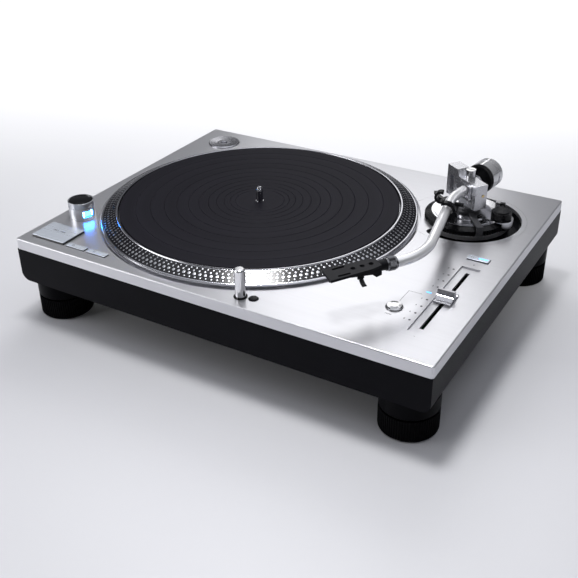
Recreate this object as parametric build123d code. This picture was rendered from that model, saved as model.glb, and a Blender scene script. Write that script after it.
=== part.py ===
from build123d import *
import os
from math import cos, hypot, pi, radians, sin, tan

# Direct-drive turntable with an S-shaped arm. Millimetres.
# The origin lies on the table under the middle of the chassis.
# X runs to the right, towards the arm, Y to the back and Z up.

# Chassis sizes
chassis_width = 453.0
chassis_depth = 353.0
foot_height = 40.0
cabinet_height = 35.5
panel_edge = 11.5
panel_thick = 4.0
panel_wall = 6.0
panel_corner = 1.2
cabinet_wall = 5.0
cabinet_floor = 4.0
cabinet_round = 9.0
seam = 0.25
running = 0.05
lift_gap = 0.3

# Feet
foot_x = 197.0
foot_y = 149.0
foot_radius = 27.0
foot_rib_count = 72
foot_rib_depth = 0.7
foot_neck = 1.8
foot_upper = 15.4
stud_radius = 4.0
stud_length = 21.0
stud_boss = 11.0
foot_pin = 5.0
foot_pin_length = 17.0

# Bottom cover and its screws
cover_width = 230.0
cover_depth = 170.0
cover_thick = 1.5
cover_rim = 9.0
screw_head = 3.0
screw_shank = 1.5
screw_length = 3.6

# Platter
platter_x = -47.0
platter_y = 1.0
recess_radius = 170.0
recess_depth = 4.0
recess_wall = 2.5
platter_radius = 167.0
platter_lip = 3.2
platter_skirt = 7.0
platter_drop = 2.0
band_top = 9.7
band_inner = 151.0
rim_top = 10.5
rim_width = 2.0
web_top = 7.2
web_thick = 4.0
hub_radius = 12.0
hub_drop = 6.0
mat_radius = 147.5
mat_thick = 3.0
mat_groove = 0.35
spindle_radius = 3.6
spindle_top = 26.5
spindle_depth = 38.0
journal_radius = 4.2

# Motor
motor_hole = 88.5
motor_flange = 98.0
motor_sheet = 2.0
motor_floor = 14.0
magnet_outer = 46.0
magnet_inner = 26.0
magnet_gap = 1.2
stator_radius = 48.0
coil_count = 9
coil_circle = 36.0
coil_radius = 7.0
coil_height = 6.0
bearing_radius = 8.5
bearing_flange = 16.0

# Power knob and strobe lamp housing
knob_x = -202.0
knob_y = -104.0
knob_radius = 13.5
knob_top = 19.0
knob_height = 6.0
knob_wall = 1.6
strobe_angle = -18.0
window_width = 12.0
window_low = 3.2
window_high = 10.0

# Push buttons: centre, size and height over the plate
start_size = (41.6, 31.5)
start_centre = (-194.5, -148.6)
speed_size = (23.4, 6.6)
speed_33_centre = (-158.7, -161.2)
speed_45_centre = (-131.9, -161.4)
range_size = (21.5, 8.0)
range_centre = (194.8, 7.2)
reset_centre = (161.0, -109.0)
reset_radius = 7.6
light_button_centre = (46.6, -158.0)
light_button_radius = 4.5
button_gap = 0.4
button_flange = 1.1
button_flange_thick = 1.2
button_depth = 3.0

# Pop-up target light
light_centre = (34.3, -160.2)
light_radius = 5.0
light_top = 28.6
light_tail = 7.0
sleeve_radius = 6.4
sleeve_depth = 10.0

# Pitch slider
pitch_x = 194.7
pitch_y = -74.0
pitch_recess = (18.7, 125.2, 1.5)
pitch_slot = (3.8, 108.0)
pitch_knob_width = 15.8
pitch_knob_slope = (
    (10.5, 0.6),
    (9.6, 1.3),
    (7.4, 1.3),
    (6.4, 0.7),
    (4.4, 2.4),
    (3.4, 3.2),
    (2.6, 3.6),
    (1.8, 7.6),
    (1.2, 8.4),
)
pitch_knob_y = -73.6
pitch_stem = (3.0, 8.0)
pitch_shoe = (10.0, 14.0, 2.5)

# Centre adapter for large-hole records
adapter_centre = (-189.0, 141.5)
adapter_radius = 19.1
adapter_top = 1.6
adapter_recess = 2.6
adapter_bore = 3.7

# Arm base
pivot_x = 152.0
pivot_y = 87.4
mount_radius = 61.0
channel_inner = 44.0
channel_outer = 56.0
channel_start = -112.0
channel_end = 108.0
channel_depth = 13.0
bowl_sheet = 1.5
seam_high_angle = 66.7
seam_high_foot = (91.4, 99.3)
seam_low_angle = -24.7
seam_low_foot = (118.8, 36.8)
seam_high_run = 13.0
seam_low_run = 9.0
seam_reach = 30.0
stem_radius = 14.0
stem_depth = 22.0
sleeve_wall = 4.0
height_ring_radius = 43.3
height_ring_top = 7.6
height_rib_count = 90
height_rib_depth = 0.8
base_neck = 31.5
base_disc = 36.5
base_top = 8.9
platform_thick = 1.0

# Anti-skating dial
skate_x = 37.0
skate_y = -3.4
skate_radius = 10.2
skate_top = 17.5
skate_lobe = 12.3
skate_rib_count = 48

# Gimbal
gimbal_turn = -35.0
frame_left = 26.0
frame_right = 24.5
frame_front = 10.0
frame_back = 4.0
frame_low = 20.3
frame_high = 52.5
frame_step = 46.0
frame_bar = 5.5
pedestal_radius = 10.0
ring_half = 15.5
ring_front = 8.8
ring_back = 3.5
ring_low = 27.0
ring_high = 42.5
ring_open_half = 10.5
pin_radius = 1.5
cap_radius = 5.0
cap_top = 54.0
cap_stem = 2.5

# S-shaped arm
arm_height = 36.0
arm_bend = (147.3, 50.0)
arm_elbow = (171.8, -72.7)
collar_centre = (151.3, -99.4)
tube_radius = 4.8
tube_wall = 0.6
bend_radii = [60.0, 62.0]
shaft_radius = 3.6
shaft_length = 52.0
neck_length = 13.0
neck_back = 7.0
collar_radius = 6.4
collar_length = 10.0
collar_rib_count = 36

# Counterweight
sleeve_outer = 6.2
sleeve_start = 14.5
weight_radius = 15.5
dial_start = 16.5
dial_length = 6.0
dial_rib_count = 60
weight_length = 20.0
weight_groove = 3.0

# Headshell
shell_width = 20.0
shell_length = 49.0
shell_thick = 2.4
shell_start = 12.0
shell_slope = 3.0
shell_rise = 4.4
shell_neck = 4.75
slot_spacing = 12.7
slot_length = 12.0
slot_width = 2.6
finger_place = 21.0
finger_reach = 7.0

# Arm rest, clip and lift
rest_y = 20.0
post_x = -3.0
post_y = -31.0
post_radius = 3.6
rest_width = 7.0
clip_inner = 7.4
clip_outer = 10.2
clip_width = 6.0
clip_hinge = 9.0
lift_circle = 34.0
lift_width = 3.6
lift_thick = 3.0
lift_from = -12.0
lift_to = 60.0
lift_post = 2.5
lift_boss = 4.6

# Levers
lock_angle = 36.0
lever_reach = 47.0
lever_width = 6.4
lever_thick = 1.8
lever_low = 2.0
cue_place = (25.5, 20.0)
cue_angle = 12.0
cue_height = 4.0
cue_shaft = 4.5
cue_rise = 10.0
cue_reach = 9.0
cue_block = (5.0, 7.0, 7.0)

# Rear sockets
terminal_x = -130.0
terminal_width = 80.0
terminal_height = 22.0
terminal_depth = 16.0
terminal_sheet = 1.5
jack_radius = 4.15
jack_reach = 7.0
jack_flange = 6.2
jack_places = (-20.0, -2.0)
ground_place = 18.0
inlet_x = 120.0
inlet_width = 30.0
inlet_height = 20.0
inlet_depth = 22.0
inlet_wall = 2.0
inlet_pin = 1.2

# Circuit board and mains transformer
board_size = (84.0, 70.0, 1.6)
board_inset = 61.5
board_y = -100.0
board_part = (14.0, 11.0)
board_parts = ((-30.0, 20.0, 9.0), (12.0, -18.0, 6.0), (34.0, 22.0, 11.0), (-12.0, -24.0, 4.0))
board_stand = 8.0
transformer_size = (62.0, 52.0, 27.0)
transformer_centre = (-155.0, 75.0)

# Values worked out from the sizes above
plate_z = foot_height + cabinet_height + panel_edge
cabinet_top = foot_height + cabinet_height
floor_top = foot_height + cabinet_floor
half_width = chassis_width / 2
half_depth = chassis_depth / 2
pivot = (pivot_x, pivot_y)
board_centre = (half_width - board_inset, board_y)
axis_z = plate_z + arm_height
UPRIGHT = (Align.CENTER, Align.CENTER, Align.MIN)


def up(height):
    """Height over the table of a height over the plate."""
    return plate_z + height


def cyl(radius, low, high, centre=(0.0, 0.0)):
    """Upright cylinder between two heights."""
    return Pos(centre[0], centre[1], low) * Cylinder(radius, high - low, align=UPRIGHT)


def tube(outer, inner, low, high, centre=(0.0, 0.0)):
    """Upright tube between two heights."""
    return cyl(outer, low, high, centre) - cyl(inner, low - 1, high + 1, centre)


def block(size_x, size_y, low, high, centre=(0.0, 0.0)):
    """Upright box between two heights."""
    return Pos(centre[0], centre[1], low) * Box(size_x, size_y, high - low, align=UPRIGHT)


def lathe(profile, centre=(0.0, 0.0)):
    """Solid turned from a closed outline of radius and height pairs."""
    outline = make_face(Plane.XZ * Polyline(*profile, close=True))
    return Pos(centre[0], centre[1], 0) * revolve(outline, Axis.Z)


def ribbed(radius, depth, count, low, high, centre=(0.0, 0.0)):
    """Upright cylinder with pointed ribs round its side."""
    points = []
    for index in range(2 * count):
        reach = radius - depth * (index % 2)
        angle = pi * index / count
        points.append((reach * cos(angle), reach * sin(angle)))
    face = make_face(Polyline(*points, close=True))
    return Pos(centre[0], centre[1], low) * extrude(face, high - low)


def on_circle(radius, degrees, centre=pivot):
    """Point on a circle, at an angle measured from +X."""
    angle = radians(degrees)
    return (centre[0] + radius * cos(angle), centre[1] + radius * sin(angle))


def heading(start, end):
    """Unit vector in the plane from one point to another."""
    run = hypot(end[0] - start[0], end[1] - start[1])
    return ((end[0] - start[0]) / run, (end[1] - start[1]) / run)


def along(start, direction, distance):
    """Point at a distance from another along a direction."""
    return (start[0] + direction[0] * distance, start[1] + direction[1] * distance)


def rod(radius, start, direction, begin, finish, height=axis_z):
    """Level cylinder along a direction in the plane."""
    point = along(start, direction, begin)
    plane = Plane(origin=(point[0], point[1], height), z_dir=(direction[0], direction[1], 0))
    return plane * Cylinder(radius, finish - begin, align=UPRIGHT)


def spool(radius, depth, count, start, direction, begin, finish):
    """Level ribbed cylinder along a direction in the plane."""
    point = along(start, direction, begin)
    plane = Plane(origin=(point[0], point[1], axis_z), z_dir=(direction[0], direction[1], 0))
    return plane * ribbed(radius, depth, count, 0, finish - begin)


front_line = heading(pivot, arm_bend)
back_line = (-front_line[0], -front_line[1])
mid_line = heading(arm_bend, arm_elbow)
shell_line = heading(arm_elbow, collar_centre)


# Outlines on the plate
def channel(grow, low, high):
    """Curved slot round the right side of the arm base."""
    middle = (channel_inner + channel_outer) / 2
    half = (channel_outer - channel_inner) / 2 + grow
    sweep = tube(channel_outer + grow, channel_inner - grow, low, high, pivot)
    reach = 3 * channel_outer
    corners = [pivot]
    steps = 5
    for index in range(steps + 1):
        corners.append(on_circle(reach, channel_start + (channel_end - channel_start) * index / steps))
    wedge = Pos(0, 0, low) * extrude(make_face(Polyline(*corners, close=True)), high - low)
    slot = sweep & wedge
    for angle in (channel_start, channel_end):
        slot += cyl(half, low, high, on_circle(middle, angle))
    return slot


def arm_outline(grow, low, high):
    """Outline of the arm's own panel, up to the platter recess."""
    high_line = (cos(radians(seam_high_angle)), sin(radians(seam_high_angle)))
    low_line = (cos(radians(seam_low_angle)), sin(radians(seam_low_angle)))
    first = along(seam_high_foot, (-high_line[1], high_line[0]), grow)
    second = along(seam_low_foot, (low_line[1], -low_line[0]), grow)
    corners = [
        along(first, high_line, -seam_reach),
        along(first, high_line, seam_high_run),
        along(second, low_line, seam_low_run),
        along(second, low_line, -seam_reach),
    ]
    shape = Pos(0, 0, low) * extrude(make_face(Polyline(*corners, close=True)), high - low)
    return shape + cyl(mount_radius + grow, low, high, pivot)


# Chassis
def top_panel():
    """Silver top with its recess, wells and holes."""
    base = up(-panel_edge)
    panel = block(chassis_width, chassis_depth, base, plate_z)
    panel = fillet(panel.edges().filter_by(Axis.Z), panel_corner * 2)
    panel = fillet(panel.faces().sort_by(Axis.Z)[-1].edges(), panel_corner)
    inner_x = chassis_width - 2 * panel_wall
    inner_y = chassis_depth - 2 * panel_wall
    panel -= block(inner_x, inner_y, base - 1, up(-panel_thick))
    middle = (platter_x, platter_y)
    shelf_low = up(-recess_depth - panel_thick)
    shelf = cyl(recess_radius + recess_wall, shelf_low, up(-panel_thick), middle)
    panel += shelf & block(chassis_width, chassis_depth, base, plate_z)
    ledge_low = up(-panel_thick - bowl_sheet - 1)
    ledge = tube(mount_radius + 5, channel_outer + bowl_sheet + 1, ledge_low, up(-panel_thick), pivot)
    panel += ledge & block(inner_x + 1, inner_y + 1, base, plate_z)
    panel -= cyl(recess_radius, up(-recess_depth), plate_z + 1, middle)
    panel -= cyl(motor_hole, base - 1, plate_z + 1, middle)
    panel -= arm_outline(seam, up(-panel_thick), plate_z + 1)
    keep_clear = stem_radius + sleeve_wall + 1
    panel -= cyl(keep_clear, base, plate_z, pivot)
    under = up(-panel_thick)
    flange_gap = button_flange + button_gap
    for size, centre in box_buttons():
        panel -= block(size[0] + 2 * button_gap, size[1] + 2 * button_gap, base, plate_z + 1, centre)
        panel -= block(size[0] + 2 * flange_gap, size[1] + 2 * flange_gap, base, under, centre)
    for radius, centre in round_buttons():
        panel -= cyl(radius + button_gap, base, plate_z + 1, centre)
        panel -= cyl(radius + flange_gap, base, under, centre)
    panel -= channel(bowl_sheet + button_gap, base, under)
    shoe_x = pitch_shoe[0] + 2 * button_gap
    panel -= block(shoe_x, pitch_slot[1] + pitch_shoe[1], base, under, (pitch_x, pitch_y))
    panel -= cyl(sleeve_radius + running, base, plate_z + 1, light_centre)
    panel -= block(pitch_recess[0], pitch_recess[1], up(-pitch_recess[2]), plate_z + 1, (pitch_x, pitch_y))
    panel -= block(pitch_slot[0], pitch_slot[1], base, plate_z + 1, (pitch_x, pitch_y))
    panel -= cyl(adapter_radius + button_gap, up(-adapter_recess), plate_z + 1, adapter_centre)
    return panel


def box_buttons():
    """Size and centre of each oblong button."""
    return (
        (start_size, start_centre),
        (speed_size, speed_33_centre),
        (speed_size, speed_45_centre),
        (range_size, range_centre),
    )


def round_buttons():
    """Radius and centre of each round button."""
    return ((reset_radius, reset_centre), (light_button_radius, light_button_centre))


def arm_panel():
    """Inlaid panel that carries the arm, with its curved channel."""
    panel = arm_outline(0, up(-panel_thick), plate_z)
    panel -= cyl(recess_radius, up(-panel_thick) - 1, plate_z + 1, (platter_x, platter_y))
    panel -= channel(0, up(-panel_thick) - 1, plate_z + 1)
    panel += cyl(stem_radius + sleeve_wall, up(-stem_depth - 2), up(-panel_thick), pivot)
    panel -= cyl(stem_radius + running, up(-stem_depth) - 3, plate_z + 1, pivot)
    return panel


def arm_bowl():
    """Dark trough under the channel."""
    bowl = channel(bowl_sheet, up(-channel_depth), up(-panel_thick))
    return bowl - channel(0, up(-channel_depth + bowl_sheet), plate_z)


def screw_places():
    """Centres of the bottom cover's screws."""
    reach_x = cover_width / 2 + cover_rim / 2
    reach_y = cover_depth / 2 + cover_rim / 2
    return [(x, y) for x in (-reach_x, 0, reach_x) for y in (-reach_y, reach_y)]


def board_places():
    """Centres of the circuit board's stand-offs."""
    reach_x = board_size[0] / 2 - 6
    reach_y = board_size[1] / 2 - 6
    return [(board_centre[0] + x, board_centre[1] + y) for x in (-reach_x, reach_x) for y in (-reach_y, reach_y)]


def foot_places():
    """Name and centre of each foot."""
    return (
        ("front_left", (-foot_x, -foot_y)),
        ("front_right", (foot_x, -foot_y)),
        ("rear_left", (-foot_x, foot_y)),
        ("rear_right", (foot_x, foot_y)),
    )


def rear_cut(x, width, height, low_y):
    """Block that opens the rear wall round a socket."""
    middle = foot_height + cabinet_height / 2
    centre = (x, (low_y + half_depth + 1) / 2)
    return block(width, half_depth + 1 - low_y, middle - height / 2, middle + height / 2, centre)


def cabinet():
    """Dark lower body with rounded lower sides."""
    left = -half_width
    right = half_width
    low = foot_height
    bend = cabinet_round
    outline = Polyline((left, cabinet_top), (left, low + bend))
    outline += RadiusArc((left, low + bend), (left + bend, low), -bend)
    outline += Line((left + bend, low), (right - bend, low))
    outline += RadiusArc((right - bend, low), (right, low + bend), -bend)
    outline += Polyline((right, low + bend), (right, cabinet_top), (left, cabinet_top))
    body = Plane.XZ * make_face(outline)
    body = extrude(body, half_depth, both=True)
    inner_x = chassis_width - 2 * cabinet_wall - 2 * cabinet_floor
    inner_y = chassis_depth - 2 * cabinet_wall
    body -= block(inner_x, inner_y, floor_top, cabinet_top + 1)
    bowl_low = up(-channel_depth - button_gap)
    body -= channel(bowl_sheet + button_gap, bowl_low, cabinet_top + 1)
    for _, place in foot_places():
        body += cyl(stud_boss, floor_top, foot_height + stud_length + 3, place)
        body -= cyl(stud_radius + running, foot_height - 1, foot_height + stud_length + 1, place)
    for place in board_places():
        body += cyl(3.5, floor_top, floor_top + board_stand, place)
    body -= block(cover_width - 2 * cover_rim, cover_depth - 2 * cover_rim, foot_height - 1, floor_top + 1)
    recess_x = cover_width + 2 * cover_rim + 2 * seam
    recess_y = cover_depth + 2 * cover_rim + 2 * seam
    body -= block(recess_x, recess_y, foot_height - 1, foot_height + cover_thick)
    for place in screw_places():
        body -= cyl(screw_shank + running, foot_height, foot_height + screw_length + 0.2, place)
    terminal_front = half_depth - terminal_depth
    body -= rear_cut(terminal_x, terminal_width, terminal_height, terminal_front)
    body -= rear_cut(inlet_x, inlet_width, inlet_height, half_depth - cabinet_wall - 1)
    return body


def bottom_cover():
    """Plate that closes the underside."""
    width = cover_width + 2 * cover_rim
    depth = cover_depth + 2 * cover_rim
    cover = block(width, depth, foot_height, foot_height + cover_thick)
    for place in screw_places():
        cover -= cyl(screw_shank + running, foot_height - 1, foot_height + cover_thick + 1, place)
        cover -= cyl(screw_head + 0.1, foot_height - 1, foot_height + cover_thick / 2, place)
    return cover


def cover_screws():
    """Six screws that hold the bottom cover."""
    screws = []
    for place in screw_places():
        screw = cyl(screw_head, foot_height, foot_height + cover_thick / 2, place)
        screw += cyl(screw_shank, foot_height, foot_height + screw_length, place)
        screw -= block(0.8, 2 * screw_head - 1.6, foot_height - 1, foot_height + 0.5, place)
        screws.append(screw)
    return Compound(children=screws)


# Motor
def motor_plate():
    """Pressed pan under the platter."""
    hole = bearing_radius + running
    rim = up(-recess_depth - panel_thick)
    floor = up(-motor_floor)
    wall = motor_hole - 0.5
    profile = [
        (hole, floor),
        (wall, floor),
        (wall, rim - motor_sheet),
        (motor_flange, rim - motor_sheet),
        (motor_flange, rim),
        (wall - motor_sheet, rim),
        (wall - motor_sheet, floor + motor_sheet),
        (hole, floor + motor_sheet),
    ]
    return lathe(profile, (platter_x, platter_y))


def bearing_housing():
    """Long sleeve that carries the spindle."""
    seat = up(-motor_floor + motor_sheet)
    bore = journal_radius + running
    low = up(-spindle_depth - lift_gap)
    profile = [
        (0, low - 2),
        (bearing_radius, low - 2),
        (bearing_radius, seat),
        (bearing_flange, seat),
        (bearing_flange, seat + 1.5),
        (bore + 3, seat + 1.5),
        (bore + 3, seat + 4),
        (bore, seat + 4),
        (bore, low),
        (0, low),
    ]
    return lathe(profile, (platter_x, platter_y))


def motor_stator():
    """Disc that holds the drive coils."""
    seat = up(-motor_floor + motor_sheet)
    return tube(stator_radius, bearing_flange + 1, seat, seat + motor_sheet, (platter_x, platter_y))


def stator_coils():
    """Ring of flat drive coils."""
    seat = up(-motor_floor + 2 * motor_sheet)
    coils = []
    for index in range(coil_count):
        place = on_circle(coil_circle, 360 * index / coil_count, (platter_x, platter_y))
        coils.append(tube(coil_radius, coil_radius / 2, seat, seat + coil_height, place))
    return Compound(children=coils)


# Platter
def platter():
    """Cast platter with its sloping strobe band."""
    bore = journal_radius + running / 2
    low = up(-platter_drop)
    under = up(web_top - web_thick)
    inner = band_inner - rim_width
    profile = [
        (bore, up(web_top)),
        (mat_radius + 0.5, up(web_top)),
        (inner, up(rim_top - 0.4)),
        (inner + 0.4, up(rim_top)),
        (band_inner - 0.4, up(rim_top)),
        (band_inner, up(band_top)),
        (platter_radius - 1.8, up(platter_lip)),
        (platter_radius - 0.9, up(platter_lip)),
        (platter_radius, up(platter_lip - 0.9)),
        (platter_radius, low),
        (platter_radius - platter_skirt, low),
        (platter_radius - platter_skirt - 1, low + 2),
        (inner - 4, under),
        (hub_radius, under),
        (hub_radius, up(-hub_drop)),
        (bore, up(-hub_drop)),
    ]
    return lathe(profile, (platter_x, platter_y))


def mat_rings():
    """Radii of the grooves in the mat, closer together near the middle."""
    rings = []
    radius = 26.0
    step = 5.5
    while radius < mat_radius - 8:
        rings.append(radius)
        radius += step
        step += 1.1
    return rings


def platter_mat():
    """Rubber mat with turned grooves."""
    top = up(web_top + mat_thick)
    bore = journal_radius + lift_gap
    profile = [(bore, up(web_top)), (bore, top)]
    for radius in mat_rings():
        profile.append((radius - 0.5, top))
        profile.append((radius, top - mat_groove))
        profile.append((radius + 0.5, top))
    profile.append((mat_radius - 0.6, top))
    profile.append((mat_radius, top - 0.6))
    profile.append((mat_radius, up(web_top)))
    return lathe(profile, (platter_x, platter_y))


def spindle():
    """Steel shaft with a centre pin that stands over the mat."""
    tip = up(spindle_top)
    radius = spindle_radius
    shoulder = up(web_top + mat_thick)
    profile = [
        (0, up(-spindle_depth)),
        (journal_radius, up(-spindle_depth)),
        (journal_radius, shoulder),
        (radius, shoulder),
        (radius, tip - 5),
        (radius * 0.85, tip - 2.2),
        (radius * 0.55, tip - 0.6),
        (0, tip),
    ]
    return lathe(profile, (platter_x, platter_y))


def rotor_magnet():
    """Ring magnet under the platter."""
    top = up(web_top - web_thick)
    low = up(-motor_floor + 2 * motor_sheet + coil_height + magnet_gap)
    return tube(magnet_outer, magnet_inner, low, top, (platter_x, platter_y))


# Controls
def strobe_block(grow):
    """Block through the housing wall where the light comes out."""
    size_y = window_width + 2 * grow
    low = up(window_low - grow)
    high = up(window_high + grow)
    shape = Pos(knob_radius, 0, low) * Box(2 * knob_radius, size_y, high - low, align=UPRIGHT)
    return Pos(knob_x, knob_y, 0) * Rot(0, 0, strobe_angle) * shape


def strobe_housing():
    """Fixed chrome drum under the power knob, with its lamp window."""
    top = up(knob_top - knob_height - lift_gap)
    body = cyl(knob_radius, plate_z, top, (knob_x, knob_y))
    body -= cyl(knob_radius - knob_wall, up(1.5), top - 1.2, (knob_x, knob_y))
    body -= strobe_block(0) & tube(knob_radius + 1, knob_radius - knob_wall - 1, plate_z, top, (knob_x, knob_y))
    body -= cyl(spindle_radius + running, top - 2, top + 1, (knob_x, knob_y))
    return body


def strobe_window():
    """Clear pane in the housing's opening."""
    pane = tube(knob_radius - 0.2, knob_radius - knob_wall, plate_z, plate_z + knob_top, (knob_x, knob_y))
    return pane & strobe_block(-0.05)


def power_knob():
    """Turning knob with a dished top."""
    place = (knob_x, knob_y)
    low = up(knob_top - knob_height)
    knob = cyl(knob_radius, low, up(knob_top), place)
    knob = fillet(knob.edges().sort_by(Axis.Z)[-1], 0.5)
    knob -= cyl(knob_radius - 1.0, up(knob_top - 0.6), up(knob_top) + 1, place)
    knob += cyl(spindle_radius, low - 4, low, place)
    return knob


def box_button(size, centre, height):
    """Oblong push button with a retaining flange under the plate."""
    cap = block(size[0], size[1], up(-button_depth), up(height), centre)
    cap = fillet(cap.edges().filter_by(Axis.Z), 0.8)
    cap = fillet(cap.faces().sort_by(Axis.Z)[-1].edges(), 0.5)
    flange_top = up(-panel_thick - lift_gap)
    flange_low = flange_top - button_flange_thick
    cap += block(size[0] - 1, size[1] - 1, flange_low, up(-button_depth), centre)
    cap += block(size[0] + 2 * button_flange, size[1] + 2 * button_flange, flange_low, flange_top, centre)
    return cap


def round_button(radius, centre, height, dome):
    """Round push button with a domed top and a flange under the plate."""
    flange_top = up(-panel_thick - lift_gap)
    flange_low = flange_top - button_flange_thick
    profile = [
        (0, flange_low),
        (radius + button_flange, flange_low),
        (radius + button_flange, flange_top),
        (radius, flange_top),
        (radius, up(height - dome)),
        (radius * 0.86, up(height - dome * 0.35)),
        (radius * 0.5, up(height - dome * 0.08)),
        (0, up(height)),
    ]
    return lathe(profile, centre)


def target_light():
    """Pop-up lamp post with a round cap."""
    profile = [
        (0, up(-light_tail)),
        (light_radius, up(-light_tail)),
        (light_radius, up(light_top - 1.5)),
        (light_radius - 0.5, up(light_top - 0.4)),
        (light_radius - 1.4, up(light_top)),
        (0, up(light_top)),
    ]
    return lathe(profile, light_centre)


def light_sleeve():
    """Collar that guides the lamp post."""
    return tube(sleeve_radius, light_radius + running, up(-sleeve_depth), up(0.5), light_centre)


def pitch_knob():
    """Slider cap with a middle fin, a stem and a shoe under the slot."""
    centre = (pitch_x, pitch_knob_y)
    low = up(-pitch_recess[2] + lift_gap)
    reach = pitch_knob_slope[0][0]
    front = [(-y, up(height)) for y, height in pitch_knob_slope]
    back = [(y, up(height)) for y, height in reversed(pitch_knob_slope)]
    outline = [(-reach, low)] + front + back + [(reach, low)]
    side = Plane.YZ * make_face(Polyline(*outline, close=True))
    cap = extrude(side, pitch_knob_width / 2, both=True)
    cap = Pos(centre[0], centre[1], 0) * cap
    shoe_top = up(-panel_thick - lift_gap)
    cap += block(pitch_stem[0], pitch_stem[1], shoe_top - pitch_shoe[2], low, centre)
    cap += block(pitch_shoe[0], pitch_shoe[1], shoe_top - pitch_shoe[2], shoe_top, centre)
    return cap


def single_adapter():
    """Turned adapter that lies in its shallow seat."""
    low = up(-adapter_recess)
    profile = [
        (adapter_bore, low),
        (adapter_radius - 0.6, low),
        (adapter_radius, low + 0.6),
        (adapter_radius, up(adapter_top - 0.8)),
        (adapter_radius - 0.8, up(adapter_top)),
        (adapter_bore + 4.5, up(adapter_top - 0.9)),
        (adapter_bore + 0.5, up(adapter_top - 0.9)),
        (adapter_bore, up(adapter_top - 1.4)),
    ]
    return lathe(profile, adapter_centre)


# Arm base
def height_ring():
    """Black ribbed ring that sets the arm's height."""
    low = up(lift_gap)
    shoulder = up(height_ring_top - 3.2)
    ring = ribbed(height_ring_radius, height_rib_depth, height_rib_count, low, up(height_ring_top), pivot)
    cone = [
        (0, low - 1),
        (height_ring_radius + 2, low - 1),
        (height_ring_radius + 2, shoulder),
        (base_disc + 0.7, up(height_ring_top) + 0.01),
        (0, up(height_ring_top) + 0.01),
    ]
    ring = ring & lathe(cone, pivot)
    return ring - cyl(base_neck + running, low - 1, up(height_ring_top) + 1, pivot)


def skate_centre():
    """Centre of the anti-skating dial."""
    return (pivot_x + skate_x, pivot_y + skate_y)


def rest_post_centre():
    """Centre of the arm rest's post."""
    return (pivot_x + post_x, pivot_y + post_y)


def lift_post_centre():
    """Centre of the lift bar's post."""
    return on_circle(lift_circle - 6, -90 - 0.5 * lift_to)


def arm_base():
    """Raised round base with a platform for the dial and the gimbal."""
    disc_low = up(height_ring_top + lift_gap)
    base = cyl(base_neck, up(lift_gap), disc_low, pivot)
    base += cyl(base_disc, disc_low, up(base_top), pivot)
    base = base - tube(base_disc + 1, base_disc - 2.5, up(base_top - 0.5), up(base_top + 1), pivot)
    base += cyl(stem_radius, up(-stem_depth), up(lift_gap), pivot)
    platform_top = up(base_top + platform_thick)
    lobe = cyl(skate_lobe, up(base_top - 0.6), platform_top, skate_centre())
    skirt = cyl(skate_lobe, up(1.6), up(base_top), skate_centre())
    skirt -= cyl(height_ring_radius + 1, up(0), up(base_top) + 1, pivot)
    base += lobe
    base += skirt
    base += cyl(24.0, up(base_top), platform_top, pivot)
    bridge = Pos(pivot_x + skate_x / 2, pivot_y + skate_y / 2, up(base_top))
    base += bridge * Box(skate_x, 2 * skate_lobe - 3, platform_thick, align=UPRIGHT)
    boss_top = up(base_top + 9)
    base += cyl(lift_boss, up(base_top), boss_top, lift_post_centre())
    base -= cyl(lift_post + running, up(base_top - 6), boss_top + 1, lift_post_centre())
    base -= cyl(2.0 + running, up(base_top - 0.4), platform_top + 1, skate_centre())
    line = (cos(radians(cue_angle)), sin(radians(cue_angle)))
    stand = Pos(*cue_centre(), up(base_top)) * Rot(0, 0, cue_angle)
    base += stand * Box(cue_block[0], cue_block[1], cue_block[2], align=UPRIGHT)
    bore = rod(1.2 + running, cue_centre(), line, -cue_block[0], cue_block[0], up(base_top + cue_height))
    return base - bore


def anti_skate_dial():
    """Ribbed dial with a raised cap."""
    place = skate_centre()
    low = up(base_top + platform_thick + lift_gap)
    dial = ribbed(skate_radius, 0.5, skate_rib_count, low, up(skate_top), place)
    dial += cyl(skate_radius - 2.4, up(skate_top), up(skate_top + 0.8), place)
    dial += cyl(2.0, up(base_top - 0.4), low, place)
    return dial


def turned(shape):
    """Place a shape in the gimbal's own turned frame."""
    return Pos(pivot_x, pivot_y, 0) * Rot(0, 0, gimbal_turn) * shape


def gimbal_frame():
    """Fixed outer frame on its pedestal."""
    outline = [
        (-frame_left, up(frame_low)),
        (-frame_left, up(frame_high)),
        (-cap_radius - 3.8, up(frame_high)),
        (-cap_radius - 0.4, up(frame_step)),
        (frame_right, up(frame_step)),
        (frame_right, up(frame_low)),
    ]
    face = Plane.XZ * make_face(Polyline(*outline, close=True))
    frame = extrude(face, frame_front) + extrude(face, -frame_back)
    width = frame_left + frame_right - 2 * frame_bar
    middle = (frame_right - frame_left) / 2
    frame -= block(width, 60, up(frame_low + 6), up(ring_high + 0.7), (middle, 0))
    frame -= cyl(pin_radius + running, up(frame_low + 1), up(frame_low + 7))
    frame -= cyl(cap_stem + running, up(ring_high), up(frame_high) + 1)
    frame += cyl(pedestal_radius, up(base_top + platform_thick), up(frame_low))
    return turned(frame)


def pivot_screw():
    """Chrome cap that holds the upper pivot."""
    low = up(ring_high + 0.8)
    cap = cyl(cap_stem, low, up(frame_step), pivot)
    cap += cyl(cap_radius, up(frame_step), up(cap_top), pivot)
    cap -= cyl(pin_radius + running, low - 1, up(frame_step + 1), pivot)
    slot = Pos(pivot_x, pivot_y, up(cap_top - 1)) * Box(2 * cap_radius + 1, 1.0, 2, align=UPRIGHT)
    return cap - slot


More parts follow.
